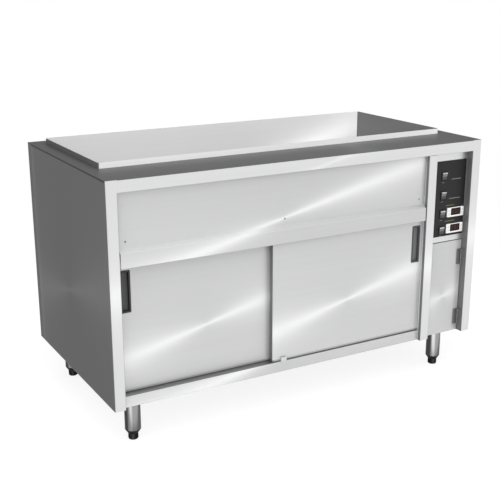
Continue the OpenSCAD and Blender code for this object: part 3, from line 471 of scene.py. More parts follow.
def brushed(node, sheet):
    """Brushed steel: brush lines along one axis, painted light and shade in tones by the way a face
    looks, painted bow-tie highlights, and faint clouds where hands and cloths have dulled it."""
    steel = bpy.context.scene.steel
    finish = Finish(node + "_steel")
    across = np.where(np.array(list("xyz")) == sheet.grain, 0.0, 1.0)
    along = 1.0 - across
    lines = finish.noise(across / steel.grain + along * LINE_STRETCH, DETAIL)
    bands = finish.noise(across / steel.grain / BAND_LINES + along * BAND_STRETCH)
    clouds = finish.noise(CLOUD_CELLS, DETAIL)
    colour, front, matt = getattr(steel, sheet.rest), 0.0, 0.0
    # Painted light and shade: a tone for each way a face looks, with painted highlight fans
    for way, (axis, sign, axes) in WAYS.items():
        if way not in {**sheet.tones, **sheet.fans, **sheet.lined}:
            continue
        mask = finish.looks[axis] * float(sign) > FLAT
        face = getattr(steel, sheet.tones.get(way, sheet.rest))
        if way == "front":
            front = mask
        matt = mask * MATT.get(sheet.tones.get(way), 0.0) + matt
        if way in sheet.lined:
            depth, lining = sheet.lined[way]
            deep = finish.at[1] > at_share(node, 1, depth)
            face = finish.mix(deep, face, getattr(steel, lining))
            matt = matt.most(mask * deep * MATT.get(lining, 0.0))
        for shape in sheet.fans.get(way, ()):
            face = finish.mix(fan(finish, node, axes, shape), face, getattr(steel, shape.tone))
        colour = finish.mix(mask, colour, face)
    # Painted shade: the front darkened where it slopes up
    if sheet.dim:
        sloped = finish.smooth(finish.looks[2], *SLOPED)
        colour = finish.mix(sloped * front * sheet.dim, colour, steel.side_shade)
    # Painted shade along the bends under the upper edge
    if sheet.hem_shade:
        reach = front * (sheet.hem_shade[1] - sheet.hem_shade[0]) + sheet.hem_shade[0]
        bend_shade = finish.smooth(finish.at[2] - at_share(node, 2, 1.0) + reach, 0.0, MM)
        colour = finish.mix(bend_shade, colour, steel.fold)
    finish.tint(colour, SHADE_START + lines * LINE_SHADE + bands * BAND_SHADE + clouds * CLOUD_SHADE)
    gloss = steel.roughness - ROUGH_LESS + steel.dull - front * steel.dull
    finish.set(roughness=lines * LINE_ROUGH + clouds * CLOUD_ROUGH + gloss)
    finish.set(metallic=sheet.metallic - matt)
    finish.bump(lines, *LINE_BUMP)
    return finish.material


# Drawn tubes: how far the normal points to the right where the painted highlight ends, and to the
# left where the darker painted shade begins
TUBE_RIGHT = (-0.58, -0.3)
TUBE_LEFT = (0.74, 0.92)
# Start and gain of the shade and the roughness, what the dull side adds, and height and strength of
# the lines
TUBE_SHADE = (0.95, 0.1)
TUBE_ROUGH = (0.16, 0.06)
TUBE_DULL = 0.1
TUBE_BUMP = (0.01 * MM, 0.4)


def drawn(node):
    """Drawn tube: fine lines along its length, a painted highlight where it looks to the front left,
    and painted shade to the right of that and on its left, the left also being rougher."""
    steel = bpy.context.scene.steel
    finish = Finish(node + "_tube", metallic=1.0)
    lines = finish.noise((1 / steel.grain, 1 / steel.grain, LINE_STRETCH), DETAIL)
    # Masks of the painted shade; the left one also makes the tube rougher
    side = finish.smooth(finish.looks[0], *TUBE_RIGHT)
    dull = finish.smooth(finish.looks[0] * -1.0, *TUBE_LEFT)
    colour = finish.mix(side, steel.tube, steel.tube_side)
    finish.tint(finish.mix(dull, colour, steel.jamb_shade), TUBE_SHADE[0] + lines * TUBE_SHADE[1])
    finish.set(roughness=TUBE_ROUGH[0] + lines * TUBE_ROUGH[1] + dull * TUBE_DULL)
    finish.bump(lines, *TUBE_BUMP)
    return finish.material


# Moulded finishes: cells a metre and depth of the grain, how much wider the mottle's cells are,
# and what both add to the shade and the roughness
MOULD_CELLS = 1000.0
MOULD_DEPTH = 0.05 * MM
MOTTLE_WIDER = 60.0
MOULD_START = 0.88
MOULD_SHADE = 0.12
FINE_ROUGH = 0.08
MOTTLE_ROUGH = 0.05


def moulded(group, key, name, roughness, **sockets):
    """Moulded, coated or plated finish in one of a settings group's tones, with a slight mottle
    and a fine grain."""
    finish = Finish(name, **sockets)
    fine = finish.noise((MOULD_CELLS,) * 3)
    mottle = finish.noise((MOULD_CELLS / MOTTLE_WIDER,) * 3, DETAIL)
    colour = getattr(getattr(bpy.context.scene, group), key)
    finish.tint(colour, MOULD_START + fine * MOULD_SHADE + mottle * MOULD_SHADE)
    finish.set(roughness=roughness - ROUGH_LESS + fine * FINE_ROUGH + mottle * MOTTLE_ROUGH)
    finish.bump(fine, MOULD_DEPTH)
    return finish.material


def dress(material, *names):
    """Gives CAD nodes their finish."""
    for name in names:
        slots = frame["nodes"][name].data.materials
        slots.clear()
        slots.append(material)


def grid(name, points, shell=False):
    """Mesh of quads over grids of points, an array of shape (grids, rows, columns, 3): each quad
    joins neighbours in row and column. In a shell the last column joins the first, caps close the
    first and last rows, and the faces are turned outwards."""
    count, rows, columns = points.shape[:3]
    spans = columns if shell else columns - 1
    i, j = np.meshgrid(np.arange(rows - 1), np.arange(spans), indexing="ij")
    j2 = (j + 1) % columns
    quads = np.stack([i * columns + j, (i + 1) * columns + j,
                      (i + 1) * columns + j2, i * columns + j2], -1)
    start = np.arange(count)[:, None] * rows * columns
    faces = (quads.reshape(1, -1, 4) + start[:, :, None]).reshape(-1, 4).tolist()
    if shell:
        faces += (np.arange(columns)[::-1] + start).tolist()
        faces += (np.arange(columns) + (rows - 1) * columns + start).tolist()
    mesh = bpy.data.meshes.new(name)
    mesh.from_pydata(points.reshape(-1, 3).tolist(), [], faces)
    if shell:
        turned = bmesh.new()
        turned.from_mesh(mesh)
        bmesh.ops.recalc_face_normals(turned, faces=turned.faces)
        turned.to_mesh(mesh)
        turned.free()
    mesh.update()
    made = bpy.data.objects.new(name, mesh)
    bpy.context.scene.collection.objects.link(made)
    return made


def piece(made, material, body, smooth=True):
    """Finishes a new piece: its material and the body that it rides on."""
    made.data.materials.append(material)
    if smooth:
        made.data.shade_smooth()
    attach(made, body)
    return made


def bodies_of(node):
    """Lowest corners and highest corners of a node's separate bodies: its triangles are sorted
    along x and then z, and split wherever the next one starts beyond the reach of all before it."""
    mesh = frame["nodes"][node].data
    mesh.calc_loop_triangles()
    points = np.empty(len(mesh.vertices) * 3, np.float32)
    mesh.vertices.foreach_get("co", points)
    corners = np.empty(len(mesh.loop_triangles) * 3, np.int32)
    mesh.loop_triangles.foreach_get("vertices", corners)
    groups = [points.reshape(-1, 3)[corners].reshape(-1, 3, 3)]
    for axis in (0, 2):
        ordered = [group[np.argsort(group[:, :, axis].min(1))] for group in groups]
        groups = [part for group in ordered for part in np.split(group, breaks(group[:, :, axis]))]
    lows = [group.min((0, 1)) for group in groups]
    highs = [group.max((0, 1)) for group in groups]
    return np.array(lows), np.array(highs)


def breaks(spans):
    """Where a sorted list of spans leaves a gap."""
    reach = np.maximum.accumulate(spans.max(1))
    return np.flatnonzero(spans.min(1)[1:] > reach[:-1] + MM) + 1


# Screw heads: rings and columns of the grid, then shares of the radius, and how far they sink
HEAD_RINGS = 20
HEAD_COLUMNS = 64
HEAD_EYE = 0.04
HEAD_FALL = 0.7
CROSS_HALF = 0.17
CROSS_REACH = 0.6
CROSS_SIDE = 0.05
CROSS_END = 0.1
CROSS_DEPTH = 0.42
HEAD_SINK = 0.2 * MM


def screw_heads(name, centres, outwards, radius, dome):
    """Pan heads with a cross recess, on x and z about their centres: over a polar grid the height
    is dome (1 - fall s^4), s being the share of the radius, less the recess where either arm of
    the cross covers the point. The last row drops below the sheet."""
    steps = np.r_[np.linspace(HEAD_EYE, 1.0, HEAD_RINGS), 1.0]
    turns = np.linspace(0.0, math.tau, HEAD_COLUMNS, endpoint=False)
    s, turn = np.meshgrid(steps, turns, indexing="ij")
    x, z = s * np.cos(turn), s * np.sin(turn)
    covers = [np.clip((CROSS_HALF - np.abs(a)) / CROSS_SIDE, 0, 1)
              * np.clip((CROSS_REACH - np.abs(b)) / CROSS_END, 0, 1) for a, b in ((x, z), (z, x))]
    height = dome * (1 - HEAD_FALL * s**4) - CROSS_DEPTH * radius * np.maximum(*covers)
    height[-1] = -HEAD_SINK
    head = np.stack([x * radius, height * outwards, z * radius], -1)
    return grid(name, centres[:, None, None, :] + head, shell=True)


# Most of a bar's length that one tip takes
LONGEST_TIP = 0.4


def bars(name, starts, ends, half_w, half_t, tip=1.0, out=(0, -1, 0)):
    """Flat bars, each a rectangle carried from its start to its end, narrowed to a tip share of
    its width at both ends over half its width, or over a share of its length where it is short."""
    run = ends - starts
    size = np.linalg.norm(run, axis=-1, keepdims=True)
    wide = np.broadcast_to(np.asarray(half_w, float).reshape(-1, 1), size.shape)
    side = np.cross(run / size, out)
    inset = np.minimum(wide / size, LONGEST_TIP)[:, None, :]
    along = np.concatenate([0 * inset, inset, 1 - inset, 1 + 0 * inset], 1)
    taper = np.array([tip, 1.0, 1.0, tip])[None, :, None, None]
    corners = np.array([[-1, -1], [1, -1], [1, 1], [-1, 1]], float)
    middle = starts[:, None, :] + along * run[:, None, :]
    offset = corners[:, :1] * side[:, None, None, :] * wide[:, None, None, :] * taper
    depth = corners[:, 1:] * np.asarray(out, float) * half_t
    return grid(name, middle[:, :, None, :] + offset + depth, shell=True)


def superellipse(turn, power):
    """Points of |p|^n + |q|^n = 1 at the given turns, n being the power."""
    cosine, sine = np.cos(turn), np.sin(turn)
    reach = (np.abs(cosine)**power + np.abs(sine)**power)**(-1 / power)
    return reach * cosine, reach * sine


ROUND_COLUMNS = 40
PAD_RINGS = 10
PAD_EYE = 0.05


def pads(name, centres, half_x, half_z, rise, power=4.0, columns=ROUND_COLUMNS):
    """Low keys facing the front: over a polar grid the outline is a superellipse and the height is
    rise (1 - s^6), s being the share from the middle to the outline."""
    turns = np.linspace(0.0, math.tau, columns, endpoint=False)
    s, turn = np.meshgrid(np.linspace(PAD_EYE, 1.0, PAD_RINGS), turns, indexing="ij")
    x, z = superellipse(turn, power)
    key = np.stack([half_x * s * x, -rise * (1 - s**6), half_z * s * z], -1)
    return grid(name, centres[:, None, None, :] + key, shell=True)


def rod(name, xs, y, z, half_y, half_z, power):
    """Rod along x about one line: its section at each station is a superellipse with the half
    sizes given there."""
    across, up = superellipse(np.linspace(0.0, math.tau, ROUND_COLUMNS, endpoint=False), power)
    points = np.broadcast_arrays(xs[:, None], y + half_y[:, None] * across,
                                 z + half_z[:, None] * up)
    return grid(name, np.stack(points, -1)[None], shell=True)


SHIFT = (-0.01656, 0.0164)


def make_camera(settings):
    """Camera at the photograph's place, with the shift of its frame."""
    data = bpy.data.cameras.new("camera")
    data.lens = settings.lens
    data.shift_x, data.shift_y = SHIFT
    camera = bpy.data.objects.new("camera", data)
    camera.location = settings.place
    camera.rotation_euler = settings.turn
    bpy.context.scene.collection.objects.link(camera)
    bpy.context.scene.camera = camera


def ray_kinds(nodes):
    """1 for rays from the camera, by way of gloss, and through glass."""
    path = nodes.node("ShaderNodeLightPath")
    kinds = ("Is Camera Ray", "Is Glossy Ray", "Is Transmission Ray")
    return [Value(nodes, path.outputs[kind]) for kind in kinds]


FLOOR_REACH = 60.0
FLOOR_WHITE = 0.84
FLOOR_GREY = 0.22
FLOOR_MATT = 0.9
# Where gloss sees the floor turn white, along y to the front and the back and along x
LIT_FRONT = (0.36, 0.5)
LIT_BEHIND = (0.42, 0.8)
LIT_BEHIND_X = (-0.7, -0.3)
LIT_RIGHT = (0.8, 1.2)
# Where the shadow ends, from the middle
SHADOW_END = (1.3, 2.6)


def make_floor(settings):
    """White floor that keeps the shadow near the cupboard; gloss sees it white, with a grey flag
    under the cupboard and to its left."""
    across = np.linspace(-FLOOR_REACH / 2, FLOOR_REACH / 2, 3)
    x, y = np.meshgrid(across, across, indexing="ij")
    floor = grid("floor", np.stack([x, y, 0 * x], -1)[None])
    material = bpy.data.materials.new("floor")
    material.use_nodes = True
    material.cycles.emission_sampling = "NONE"
    nodes = Nodes(material.node_tree)
    camera, glossy, glass = ray_kinds(nodes)
    place = nodes.node("ShaderNodeTexCoord").outputs["Object"]
    x, y, _ = nodes.parts(place)
    away = nodes.value("ShaderNodeVectorMath", {"operation": "LENGTH"}, {0: place}, "Value")
    behind = nodes.smooth(y, *LIT_BEHIND) * nodes.smooth(x, *LIT_BEHIND_X)
    lit = nodes.smooth(y * -1.0, *LIT_FRONT).most(behind).most(nodes.smooth(x, *LIT_RIGHT))
    level = lit * (1.0 - settings.dim) + settings.dim
    matt = nodes.surface("ShaderNodeBsdfDiffuse", {"Color": (FLOOR_MATT,) * 3})
    grey = nodes.surface("ShaderNodeBsdfDiffuse", {"Color": (FLOOR_GREY,) * 3})
    pale = nodes.surface("ShaderNodeEmission", {"Strength": FLOOR_WHITE})
    white = nodes.surface("ShaderNodeEmission", {"Strength": 1.0})
    studio = nodes.surface("ShaderNodeEmission", {"Strength": level})
    shaded = nodes.surface("ShaderNodeAddShader", {0: grey, 1: pale})
    clear = nodes.surface("ShaderNodeBsdfTransparent")
    look = nodes.between(nodes.smooth(away, *SHADOW_END), shaded, white)
    seen = nodes.between(camera, matt, look)
    both = nodes.between(glossy + glass, seen, studio)
    below = nodes.node("ShaderNodeNewGeometry").outputs["Backfacing"]
    sided = nodes.between(below, both, clear)
    nodes.node("ShaderNodeOutputMaterial", sockets={"Surface": sided})
    floor.data.materials.append(material)


# How far the studio's white leans back overhead, and where it fades
WHITE_LEAN = 0.35
WHITE_EDGE = (-0.25, 0.35)


def make_world(settings):
    """White to the camera and through glass; the studio is white in front and overhead, and has
    grey flags behind."""
    world = bpy.data.worlds.new("studio")
    bpy.context.scene.world = world
    world.use_nodes = True
    nodes = Nodes(world.node_tree)
    camera, _, glass = ray_kinds(nodes)
    _, y, z = nodes.parts(nodes.node("ShaderNodeTexCoord").outputs["Generated"])
    lit = nodes.smooth(z * WHITE_LEAN - y, *WHITE_EDGE)
    level = lit * (1.0 - settings.dim) + settings.dim
    direct = camera + glass
    strength = direct + (1.0 - direct) * level
    back = nodes.surface("ShaderNodeBackground", {"Color": (1.0, 1.0, 1.0), "Strength": strength})
    nodes.node("ShaderNodeOutputWorld", sockets={"Surface": back})


# Size along x and y, place and turn in degrees of each light
LIGHTS = {"key": ((3.6, 3.6), (-1.6, -2.2, 3.2), (38.0, 0.0, -36.0)),
          "fill": ((1.8, 0.6), (0.0, -0.45, 2.3), (24.0, 0.0, 0.0))}


def make_lights(settings):
    """One large soft light over the front left and a long one over the well, both left out of the
    gloss."""
    for name, (size, place, turn) in LIGHTS.items():
        data = bpy.data.lights.new(name, "AREA")
        data.energy = getattr(settings, name)
        data.shape = "RECTANGLE"
        data.size, data.size_y = size
        light = bpy.data.objects.new(name, data)
        light.visible_glossy = False
        light.location = place
        light.rotation_euler = np.radians(turn)
        bpy.context.scene.collection.objects.link(light)


class CUPBOARD_OT_stage(Operator):
    """Set the camera, the pale floor, the studio round it and the light"""

    bl_idname = "cupboard.stage"
    bl_label = "Stage"

    def execute(self, context):
        settings = context.scene.stage
        make_camera(settings)
        make_floor(settings)
        make_world(settings)
        make_lights(settings)
        context.scene.view_settings.view_transform = "Standard"
        return {"FINISHED"}


class CUPBOARD_OT_sheet(Operator):
    """Give the body sheets, doors, tubes and lining their brushed steel"""

    bl_idname = "cupboard.sheet"
    bl_label = "Sheet steel"

    def execute(self, context):
        for node, sheet in SHEETS.items():
            dress(brushed(node, sheet), node)
        for node in LINING:
            dress(brushed(node, Sheet("x", rest="inside", metallic=LINING_METAL)), node)
        for node in TUBES:
            dress(drawn(node), node)
        return {"FINISHED"}


FEET = ("foot_front_left", "foot_front_right", "foot_rear_left", "foot_rear_right")
ROLLERS = ("left_roller_a", "left_roller_b", "right_roller_a", "right_roller_b")
ROCKERS = ("rocker_1", "rocker_2", "rocker_3", "rocker_4")
# Roughness, other sockets, and the nodes that take each of the plastics' tones
PLASTICS = {
    "film": (0.5, {"specular_ior_level": 0.35}, ("control_overlay",)),
    "black": (0.36, {"specular_ior_level": 0.25},
              ("switch_housings", "cable_gland", "foot_collars")),
    "white": (0.4, {}, ("controller_cases", *ROLLERS)),
    "guide": (0.45, {}, ("door_guide",)),
    "terminal": (0.5, {}, ("terminal_block",)),
    "lever": (0.4, {}, ("drain_lever",)),
}
# Roughness, and the nodes that take each of the metals' tones
METALS = {
    "screw": (0.35, ("fascia_screws", "panel_screws", "leg_bolts")),
    "hinge": (0.42, ("hinge_door_leaves",)),
    "pin": (0.38, ("hinge_pins",)),
    "hanger": (0.36, ("left_door_hangers", "right_door_hangers", "door_catch")),
    "brass": (0.3, ("drain_valve",)),
}
# Painted shade of each handle's plastic, the left one darker, and shares of a node's depth or height
# over which a tone changes, to painted light on the handles' hollows and the rockers
HANDLES = {"left_door_handle": 0.45, "right_door_handle": 1.1}
HOLLOW_FLOOR = (0.6, 0.8)
ROCKER_TOP = (0.38, 0.5)
ROCKER_EDGE = (0.8, 0.9)
# Middle and spread of the feet's painted gleam
GLEAM_AT = -0.42
GLEAM_SPREAD = 0.22
# Cells a metre of the heat's clouds, where their tint sets in, and cells of the fine grains
HEAT_CELLS = (2.5, 9.0, 9.0)
HEAT_EDGE = (0.4, 0.65)
SHEATH_CELLS = 700.0
FINE_CELLS = 900.0


def beyond(finish, node, axis, low, high):
    """0 before the low share of a node's box along an axis, 1 past the high share."""
    return finish.smooth(finish.at[axis], at_share(node, axis, low), at_share(node, axis, high))


def heated(metal):
    """Element sheath: dark steel with straw tint in long clouds along the tubes."""
    finish = Finish("element_sheath", metallic=1.0)
    heat = finish.smooth(finish.noise(HEAT_CELLS, DETAIL), *HEAT_EDGE)
    colour = finish.mix(heat, metal.element, metal.tint)
    return finish.grained(colour, SHEATH_CELLS, shade=(0.86, 0.28), roughness=(0.42, 0.14),
                          depth=0.06 * MM)


def foot_painted_gleam(plastic):
    """Foot plastic: black, with a painted gleam to the front left: 1 / (1 + ((n - at) / spread)^2), n
    being the normal's part along x."""
    finish = Finish("foot_plastic", specular_ior_level=0.1)
    off = (finish.looks[0] - GLEAM_AT) / GLEAM_SPREAD
    colour = finish.mix(1.0 / (off * off + 1.0), plastic.foot, plastic.foot_gleam)
    return finish.grained(colour, FINE_CELLS, shade=(0.9, 0.2), roughness=(0.2, 0.06),
                          depth=0.03 * MM)


def hollowed(node, plastic, shade):
    """Handle plastic: the frame's tone, with painted light on the floor of the hollow, in a fine
    spark-eroded grain, and with painted shade on the door that slides behind."""
    finish = Finish(node + "_plastic")
    deep = beyond(finish, node, 1, *HOLLOW_FLOOR)
    colour = finish.mix(deep, plastic.handle, plastic.hollow)
    return finish.grained(colour, FINE_CELLS, shade=(0.88 * shade, 0.24 * shade),
                          roughness=(0.42, 0.1), depth=0.05 * MM)


def rocker_painted_light(node, plastic):
    """Rocker plastic: dark below, with painted light: grey above its middle and a painted highlight
    along its upper edge.
    """
    finish = Finish(node + "_plastic")
    halves = finish.mix(beyond(finish, node, 2, *ROCKER_TOP), plastic.rocker, plastic.rocker_lit_half)
    colour = finish.mix(beyond(finish, node, 2, *ROCKER_EDGE), halves, plastic.rocker_highlight)
    return finish.grained(colour, FINE_CELLS, shade=(0.94, 0.12), roughness=(0.24, 0.08),
                          depth=0.03 * MM)


class CUPBOARD_OT_fittings(Operator):
    """Give plastics, film, small metal and heating parts their finishes"""

    bl_idname = "cupboard.fittings"
    bl_label = "Fittings"

    def execute(self, context):
        for key, (roughness, sockets, nodes) in PLASTICS.items():
            dress(moulded("plastic", key, key + "_plastic", roughness, **sockets), *nodes)
        for key, (roughness, nodes) in METALS.items():
            dress(moulded("metal", key, key + "_metal", roughness, metallic=1.0), *nodes)
        dress(heated(context.scene.metal), "tank_elements", "cupboard_element")
        dress(foot_painted_gleam(context.scene.plastic), *FEET)
        for node, shade in HANDLES.items():
            dress(hollowed(node, context.scene.plastic, shade), node)
        for node in ROCKERS:
            dress(rocker_painted_light(node, context.scene.plastic), node)
        return {"FINISHED"}


# Front of the fascia, then place, number and height by radius of the rear panel's screws
FASCIA_FACE = -366 * MM
REAR_EDGE = 22 * MM
REAR_SCREWS = 6
REAR_DOME = 0.55


class CUPBOARD_OT_screws(Operator):
    """Make the cross-recess screw heads of the fascia, the control panel and the rear panel"""

    bl_idname = "cupboard.screws"
    bl_label = "Screw heads"

    def execute(self, context):
        material = moulded("metal", "screw", "screw_head", roughness=0.3, metallic=1.0)
        faces = {"fascia_screws": FASCIA_FACE, "panel_screws": at_share("control_plate", 1, 0.0)}
        for node, face in faces.items():
            low, high = bodies_of(node)
            centres = (low + high) / 2
            centres[:, 1] = face
            radius = (high - low)[:, 0].max() / 2
            made = screw_heads(node + "_heads", centres, -1.0, radius, face - low[:, 1].min())
            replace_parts(piece(made, material, "cabinet"), node)
        low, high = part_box("rear_panel")
        x, z = np.meshgrid(np.linspace(low[0] + REAR_EDGE, high[0] - REAR_EDGE, REAR_SCREWS),
                           (low[2] + REAR_EDGE, high[2] - REAR_EDGE), indexing="ij")
        centres = np.stack([x, np.full_like(x, high[1]), z], -1).reshape(-1, 3)
        radius = context.scene.trim.rear_head
        made = screw_heads("rear_screw_heads", centres, 1.0, radius, REAR_DOME * radius)
        piece(made, material, "cabinet")
        return {"FINISHED"}


# Printed bars in millimetres: start and end in x, height of the middle, and width
PRINT = {
    "print": ((629, 673, 757, 2.4), (621, 674, 684, 2.4), (583, 593, 748, 2), (583, 593, 675, 2),
              (583, 593, 604, 2), (583, 593, 544, 1.6)),
    "amber": ((609, 647, 658, 2.4), (606, 654, 598, 2.4)),
}


class CUPBOARD_OT_print(Operator):
    """Make the plain printed bars on the control film"""

    bl_idname = "cupboard.print"
    bl_label = "Printed bars"

    def execute(self, context):
        half_t = context.scene.trim.print_t / 2
        face = at_share("control_overlay", 1, 0.0) - half_t
        for key, rows in PRINT.items():
            start, end, up, width = np.array(rows).T * MM
            starts, ends = [np.stack([x, np.full_like(x, face), up], -1) for x in (start, end)]
            made = bars(key + "_bars", starts, ends, width / 2, half_t)
            ink = moulded("plastic", key, key + "_ink", roughness=0.5)
            piece(made, ink, "cabinet", smooth=False)
        return {"FINISHED"}


# Centre and size of a window as shares of its controller's case
LENS_CENTRE = np.array([0.52, 0.0, 0.56])
LENS_SIZE = np.array([0.6, 0.0, 0.76])
LENS_POWER = 12.0
LENS_COLUMNS = 160
# Segments of the digits, then keys and the heights of their two rows from a case's middle
SEGMENT_W = 1.7 * MM
SEGMENT_T = 0.1 * MM
SEGMENT_TIP = 0.15
KEY_W = 7 * MM
KEY_H = 8.5 * MM
KEY_RISES = np.array([-6.5 * MM, 6.5 * MM])
DIGITS = 3
# Ends of the seven segments of a digit, across and up, its middle, and the gap that a segment
# leaves at its ends, as shares of its height
SEGMENTS = np.array([[(0, 1), (0.5, 1)], [(0, 0.5), (0.5, 0.5)], [(0, 0), (0.5, 0)],
                     [(0, 0.5), (0, 1)], [(0.5, 0.5), (0.5, 1)], [(0, 0), (0, 0.5)],
                     [(0.5, 0), (0.5, 0.5)]], float)
DIGIT_MIDDLE = np.array([0.25, 0.5])
DIGIT_GAP = 0.06


def digit_lines(middles, height):
    """Starts and ends of all segments: digits stand in a row about the middle of each window, half
    their height wide and one height apart."""
    run = SEGMENTS[:, 1] - SEGMENTS[:, 0]
    lines = SEGMENTS + np.stack([run, -run], 1) * DIGIT_GAP - DIGIT_MIDDLE
    step = (np.arange(DIGITS) - (DIGITS - 1) / 2)[:, None, None]
    x, y, z = middles.T[:, :, None, None, None]
    places = np.broadcast_arrays(x + (lines[:, :, 0] + step) * height, y,
                                 z + lines[:, :, 1] * height)
    points = np.stack(places, -1).reshape(-1, 2, 3)
    return points[:, 0], points[:, 1]


class CUPBOARD_OT_controllers(Operator):
    """Make the smoked windows, the unlit digits and the keys of both controllers"""

    bl_idname = "cupboard.controllers"
    bl_label = "Controllers"

    def execute(self, context):
        trim = context.scene.trim
        low, high = bodies_of("controller_cases")
        centres = low + LENS_CENTRE * (high - low)
        half_x, _, half_z = (LENS_SIZE * (high - low) / 2).max(0)
        lenses = pads("controller_lenses", centres, half_x, half_z, trim.lens_rise, LENS_POWER,
                      LENS_COLUMNS)
        smoked = moulded("plastic", "window", "smoked_window", roughness=0.18,
                         specular_ior_level=0.2)
        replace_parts(piece(lenses, smoked, "cabinet"), "controller_windows")
        starts, ends = digit_lines(centres - (0.0, trim.lens_rise, 0.0), trim.digit_h)
        digits = bars("digits", starts, ends, SEGMENT_W / 2, SEGMENT_T / 2, SEGMENT_TIP)
        unlit = moulded("plastic", "segment", "unlit_segment", roughness=0.4)
        piece(digits, unlit, "cabinet", smooth=False)
        sides = np.stack([low[:, 0] - half_x, high[:, 0] + half_x], -1)
        x = ((centres[:, :1] + sides) / 2)[:, :, None]
        z = (low + high)[:, 2, None, None] / 2 + KEY_RISES
        places = np.stack(np.broadcast_arrays(x, low[:, 1, None, None], z), -1).reshape(-1, 3)
        keys = pads("keys", places, KEY_W / 2, KEY_H / 2, trim.key_rise)
        printed = moulded("plastic", "key", "key_plastic", roughness=0.4)
        piece(keys, printed, "cabinet")
        return {"FINISHED"}


# How far a strip stays inside its door's faces, reaches up and stops short of the door's ends
STRIP_IN = 0.6 * MM
STRIP_UP = 0.4 * MM
STRIP_END = 3 * MM
STRIP_POWER = 8.0
# Share of a strip's section at its ends and just inside them
STRIP_SHARES = np.array([0.8, 1.0, 1.0, 0.8])


class CUPBOARD_OT_strips(Operator):
    """Make the glide strips that fill the gap under the doors"""

    bl_idname = "cupboard.strips"
    bl_label = "Glide strips"

    def execute(self, context):
        material = moulded("plastic", "strip", "strip_plastic", roughness=0.5)
        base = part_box("base_pan")[1][2] + context.scene.trim.strip_gap
        for side in ("left", "right"):
            low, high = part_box(side + "_door_skin")
            half_y = (high[1] - low[1]) / 2 - STRIP_IN
            half_z = (low[2] + STRIP_UP - base) / 2
            xs = np.array([low[0] + STRIP_END, low[0] + 2 * STRIP_END,
                           high[0] - 2 * STRIP_END, high[0] - STRIP_END])
            made = rod(side + "_glide_strip", xs, (low[1] + high[1]) / 2, base + half_z,
                       STRIP_SHARES * half_y, STRIP_SHARES * half_z, STRIP_POWER)
            piece(made, material, side + "_door")
        return {"FINISHED"}


# Width of the outer stiles, half of a weld's thickness, and how far it stands proud
STILE_W = 38 * MM
WELD_HALF = 0.6 * MM
WELD_RISE = 0.05 * MM


class CUPBOARD_OT_welds(Operator):
    """Make the ground welds where the worktop's front meets the outer stiles"""

    bl_idname = "cupboard.welds"
    bl_label = "Corner welds"

    def execute(self, context):
        low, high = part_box("worktop")
        xs = np.array([low[0] + STILE_W, high[0] - STILE_W])
        ys = np.full_like(xs, low[1] + WELD_HALF - WELD_RISE)
        starts, ends = [np.stack([xs, ys, np.full_like(xs, z)], -1)
                        for z in (low[2], high[2] - 2 * WELD_HALF)]
        made = bars("corner_welds", starts, ends, context.scene.trim.weld_w / 2, WELD_HALF)
        ground = brushed("corner_welds", Sheet("z", {"front": "frame"}))
        piece(made, ground, "cabinet", smooth=False)
        return {"FINISHED"}


# Sleeve: wall, stations, share of its length that the nose takes, least square of its swell,
# height of the ribs, their turns in radians, and power of its section
SLEEVE_WALL = 1.6 * MM
SLEEVE_STATIONS = 24
SLEEVE_NOSE = 0.22
SLEEVE_TIP = 0.05
SLEEVE_RIB = 0.04
SLEEVE_RIBS = 60.0
SLEEVE_POWER = 3.0


class CUPBOARD_OT_sleeve(Operator):
    """Make the soft sleeve on the drain lever"""

    bl_idname = "cupboard.sleeve"
    bl_label = "Lever sleeve"

    def execute(self, context):
        low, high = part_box("drain_lever")
        # The section swells over the nose as a quarter of an ellipse does, and has low ribs
        t = np.linspace(0.0, 1.0, SLEEVE_STATIONS)
        nose = np.clip(1 - t / SLEEVE_NOSE, 0, 1)
        ribs = 1 + SLEEVE_RIB * np.cos(t * SLEEVE_RIBS)
        swell = np.sqrt(np.clip(1 - nose**2, SLEEVE_TIP, 1)) * ribs
        xs = low[0] - SLEEVE_WALL + t * context.scene.trim.sleeve_l
        _, y, z = (low + high) / 2
        _, half_y, half_z = (high - low) / 2
        made = rod("lever_sleeve", xs, y, z, swell * (half_y + SLEEVE_WALL),
                   swell * (half_z + SLEEVE_WALL), SLEEVE_POWER)
        vinyl = moulded("plastic", "lever", "sleeve_vinyl", roughness=0.5)
        piece(made, vinyl, "drain_lever")
        return {"FINISHED"}


# Bars of the grate, half of their thickness, and the share of the radius that they take up
GRATE_BARS = 5
GRATE_WIRE = 0.8 * MM
GRATE_SPAN = 0.75


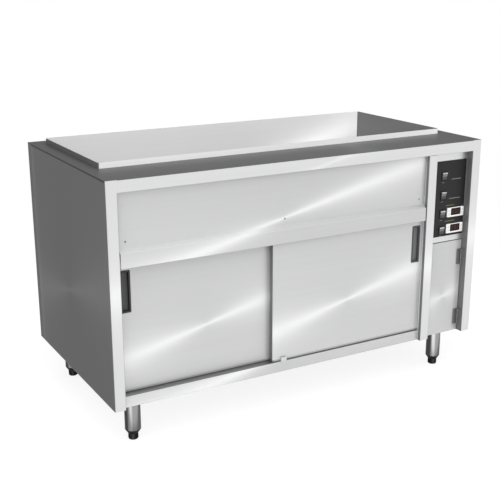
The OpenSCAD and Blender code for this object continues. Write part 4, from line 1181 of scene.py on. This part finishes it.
class CUPBOARD_OT_grate(Operator):
    """Make the barred grate in the well's drain"""

    bl_idname = "cupboard.grate"
    bl_label = "Drain grate"

    def execute(self, context):
        low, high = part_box("drain_pipe")
        radius = context.scene.trim.grate_r
        x, y, _ = (low + high) / 2
        across = np.linspace(-GRATE_SPAN, GRATE_SPAN, GRATE_BARS) * radius
        # Each bar is a chord of the drain's circle
        reach = np.sqrt(radius**2 - across**2)
        up = np.full_like(across, high[2] - GRATE_WIRE)
        starts, ends = [np.stack([x + across, y + half, up], -1) for half in (-reach, reach)]
        made = bars("drain_grate", starts, ends, GRATE_WIRE, GRATE_WIRE, out=(0, 0, 1))
        wire = moulded("metal", "hanger", "grate_wire", roughness=0.3, metallic=1.0)
        piece(made, wire, "cabinet", smooth=False)
        return {"FINISHED"}


class CUPBOARD_PT_sidebar(Panel):
    """Lists the jobs in their order."""

    bl_idname = "CUPBOARD_PT_sidebar"
    bl_label = "Hot cupboard"
    bl_space_type = "VIEW_3D"
    bl_region_type = "UI"
    bl_category = "Cupboard"

    def draw(self, context):
        for job in JOBS:
            self.layout.operator(job.bl_idname)


JOBS = (CUPBOARD_OT_stage, CUPBOARD_OT_sheet, CUPBOARD_OT_fittings, CUPBOARD_OT_screws,
        CUPBOARD_OT_print, CUPBOARD_OT_controllers, CUPBOARD_OT_strips, CUPBOARD_OT_welds,
        CUPBOARD_OT_sleeve, CUPBOARD_OT_grate)
GROUPS = {"steel": SteelSettings, "plastic": PlasticSettings, "metal": MetalSettings,
          "trim": TrimSettings, "stage": StageSettings}
CLASSES = (*GROUPS.values(), *JOBS, CUPBOARD_PT_sidebar)


def register():
    for cls in CLASSES:
        bpy.utils.register_class(cls)
    for name, group in GROUPS.items():
        setattr(bpy.types.Scene, name, PointerProperty(type=group))


def unregister():
    for name in GROUPS:
        delattr(bpy.types.Scene, name)
    for cls in reversed(CLASSES):
        bpy.utils.unregister_class(cls)


def main():
    register()
    bpy.ops.cupboard.stage()
    bpy.ops.cupboard.sheet()
    bpy.ops.cupboard.fittings()
    bpy.ops.cupboard.screws()
    bpy.ops.cupboard.print()
    bpy.ops.cupboard.controllers()
    bpy.ops.cupboard.strips()
    bpy.ops.cupboard.welds()
    bpy.ops.cupboard.sleeve()
    bpy.ops.cupboard.grate()


if __name__ == "__main__":
    main()
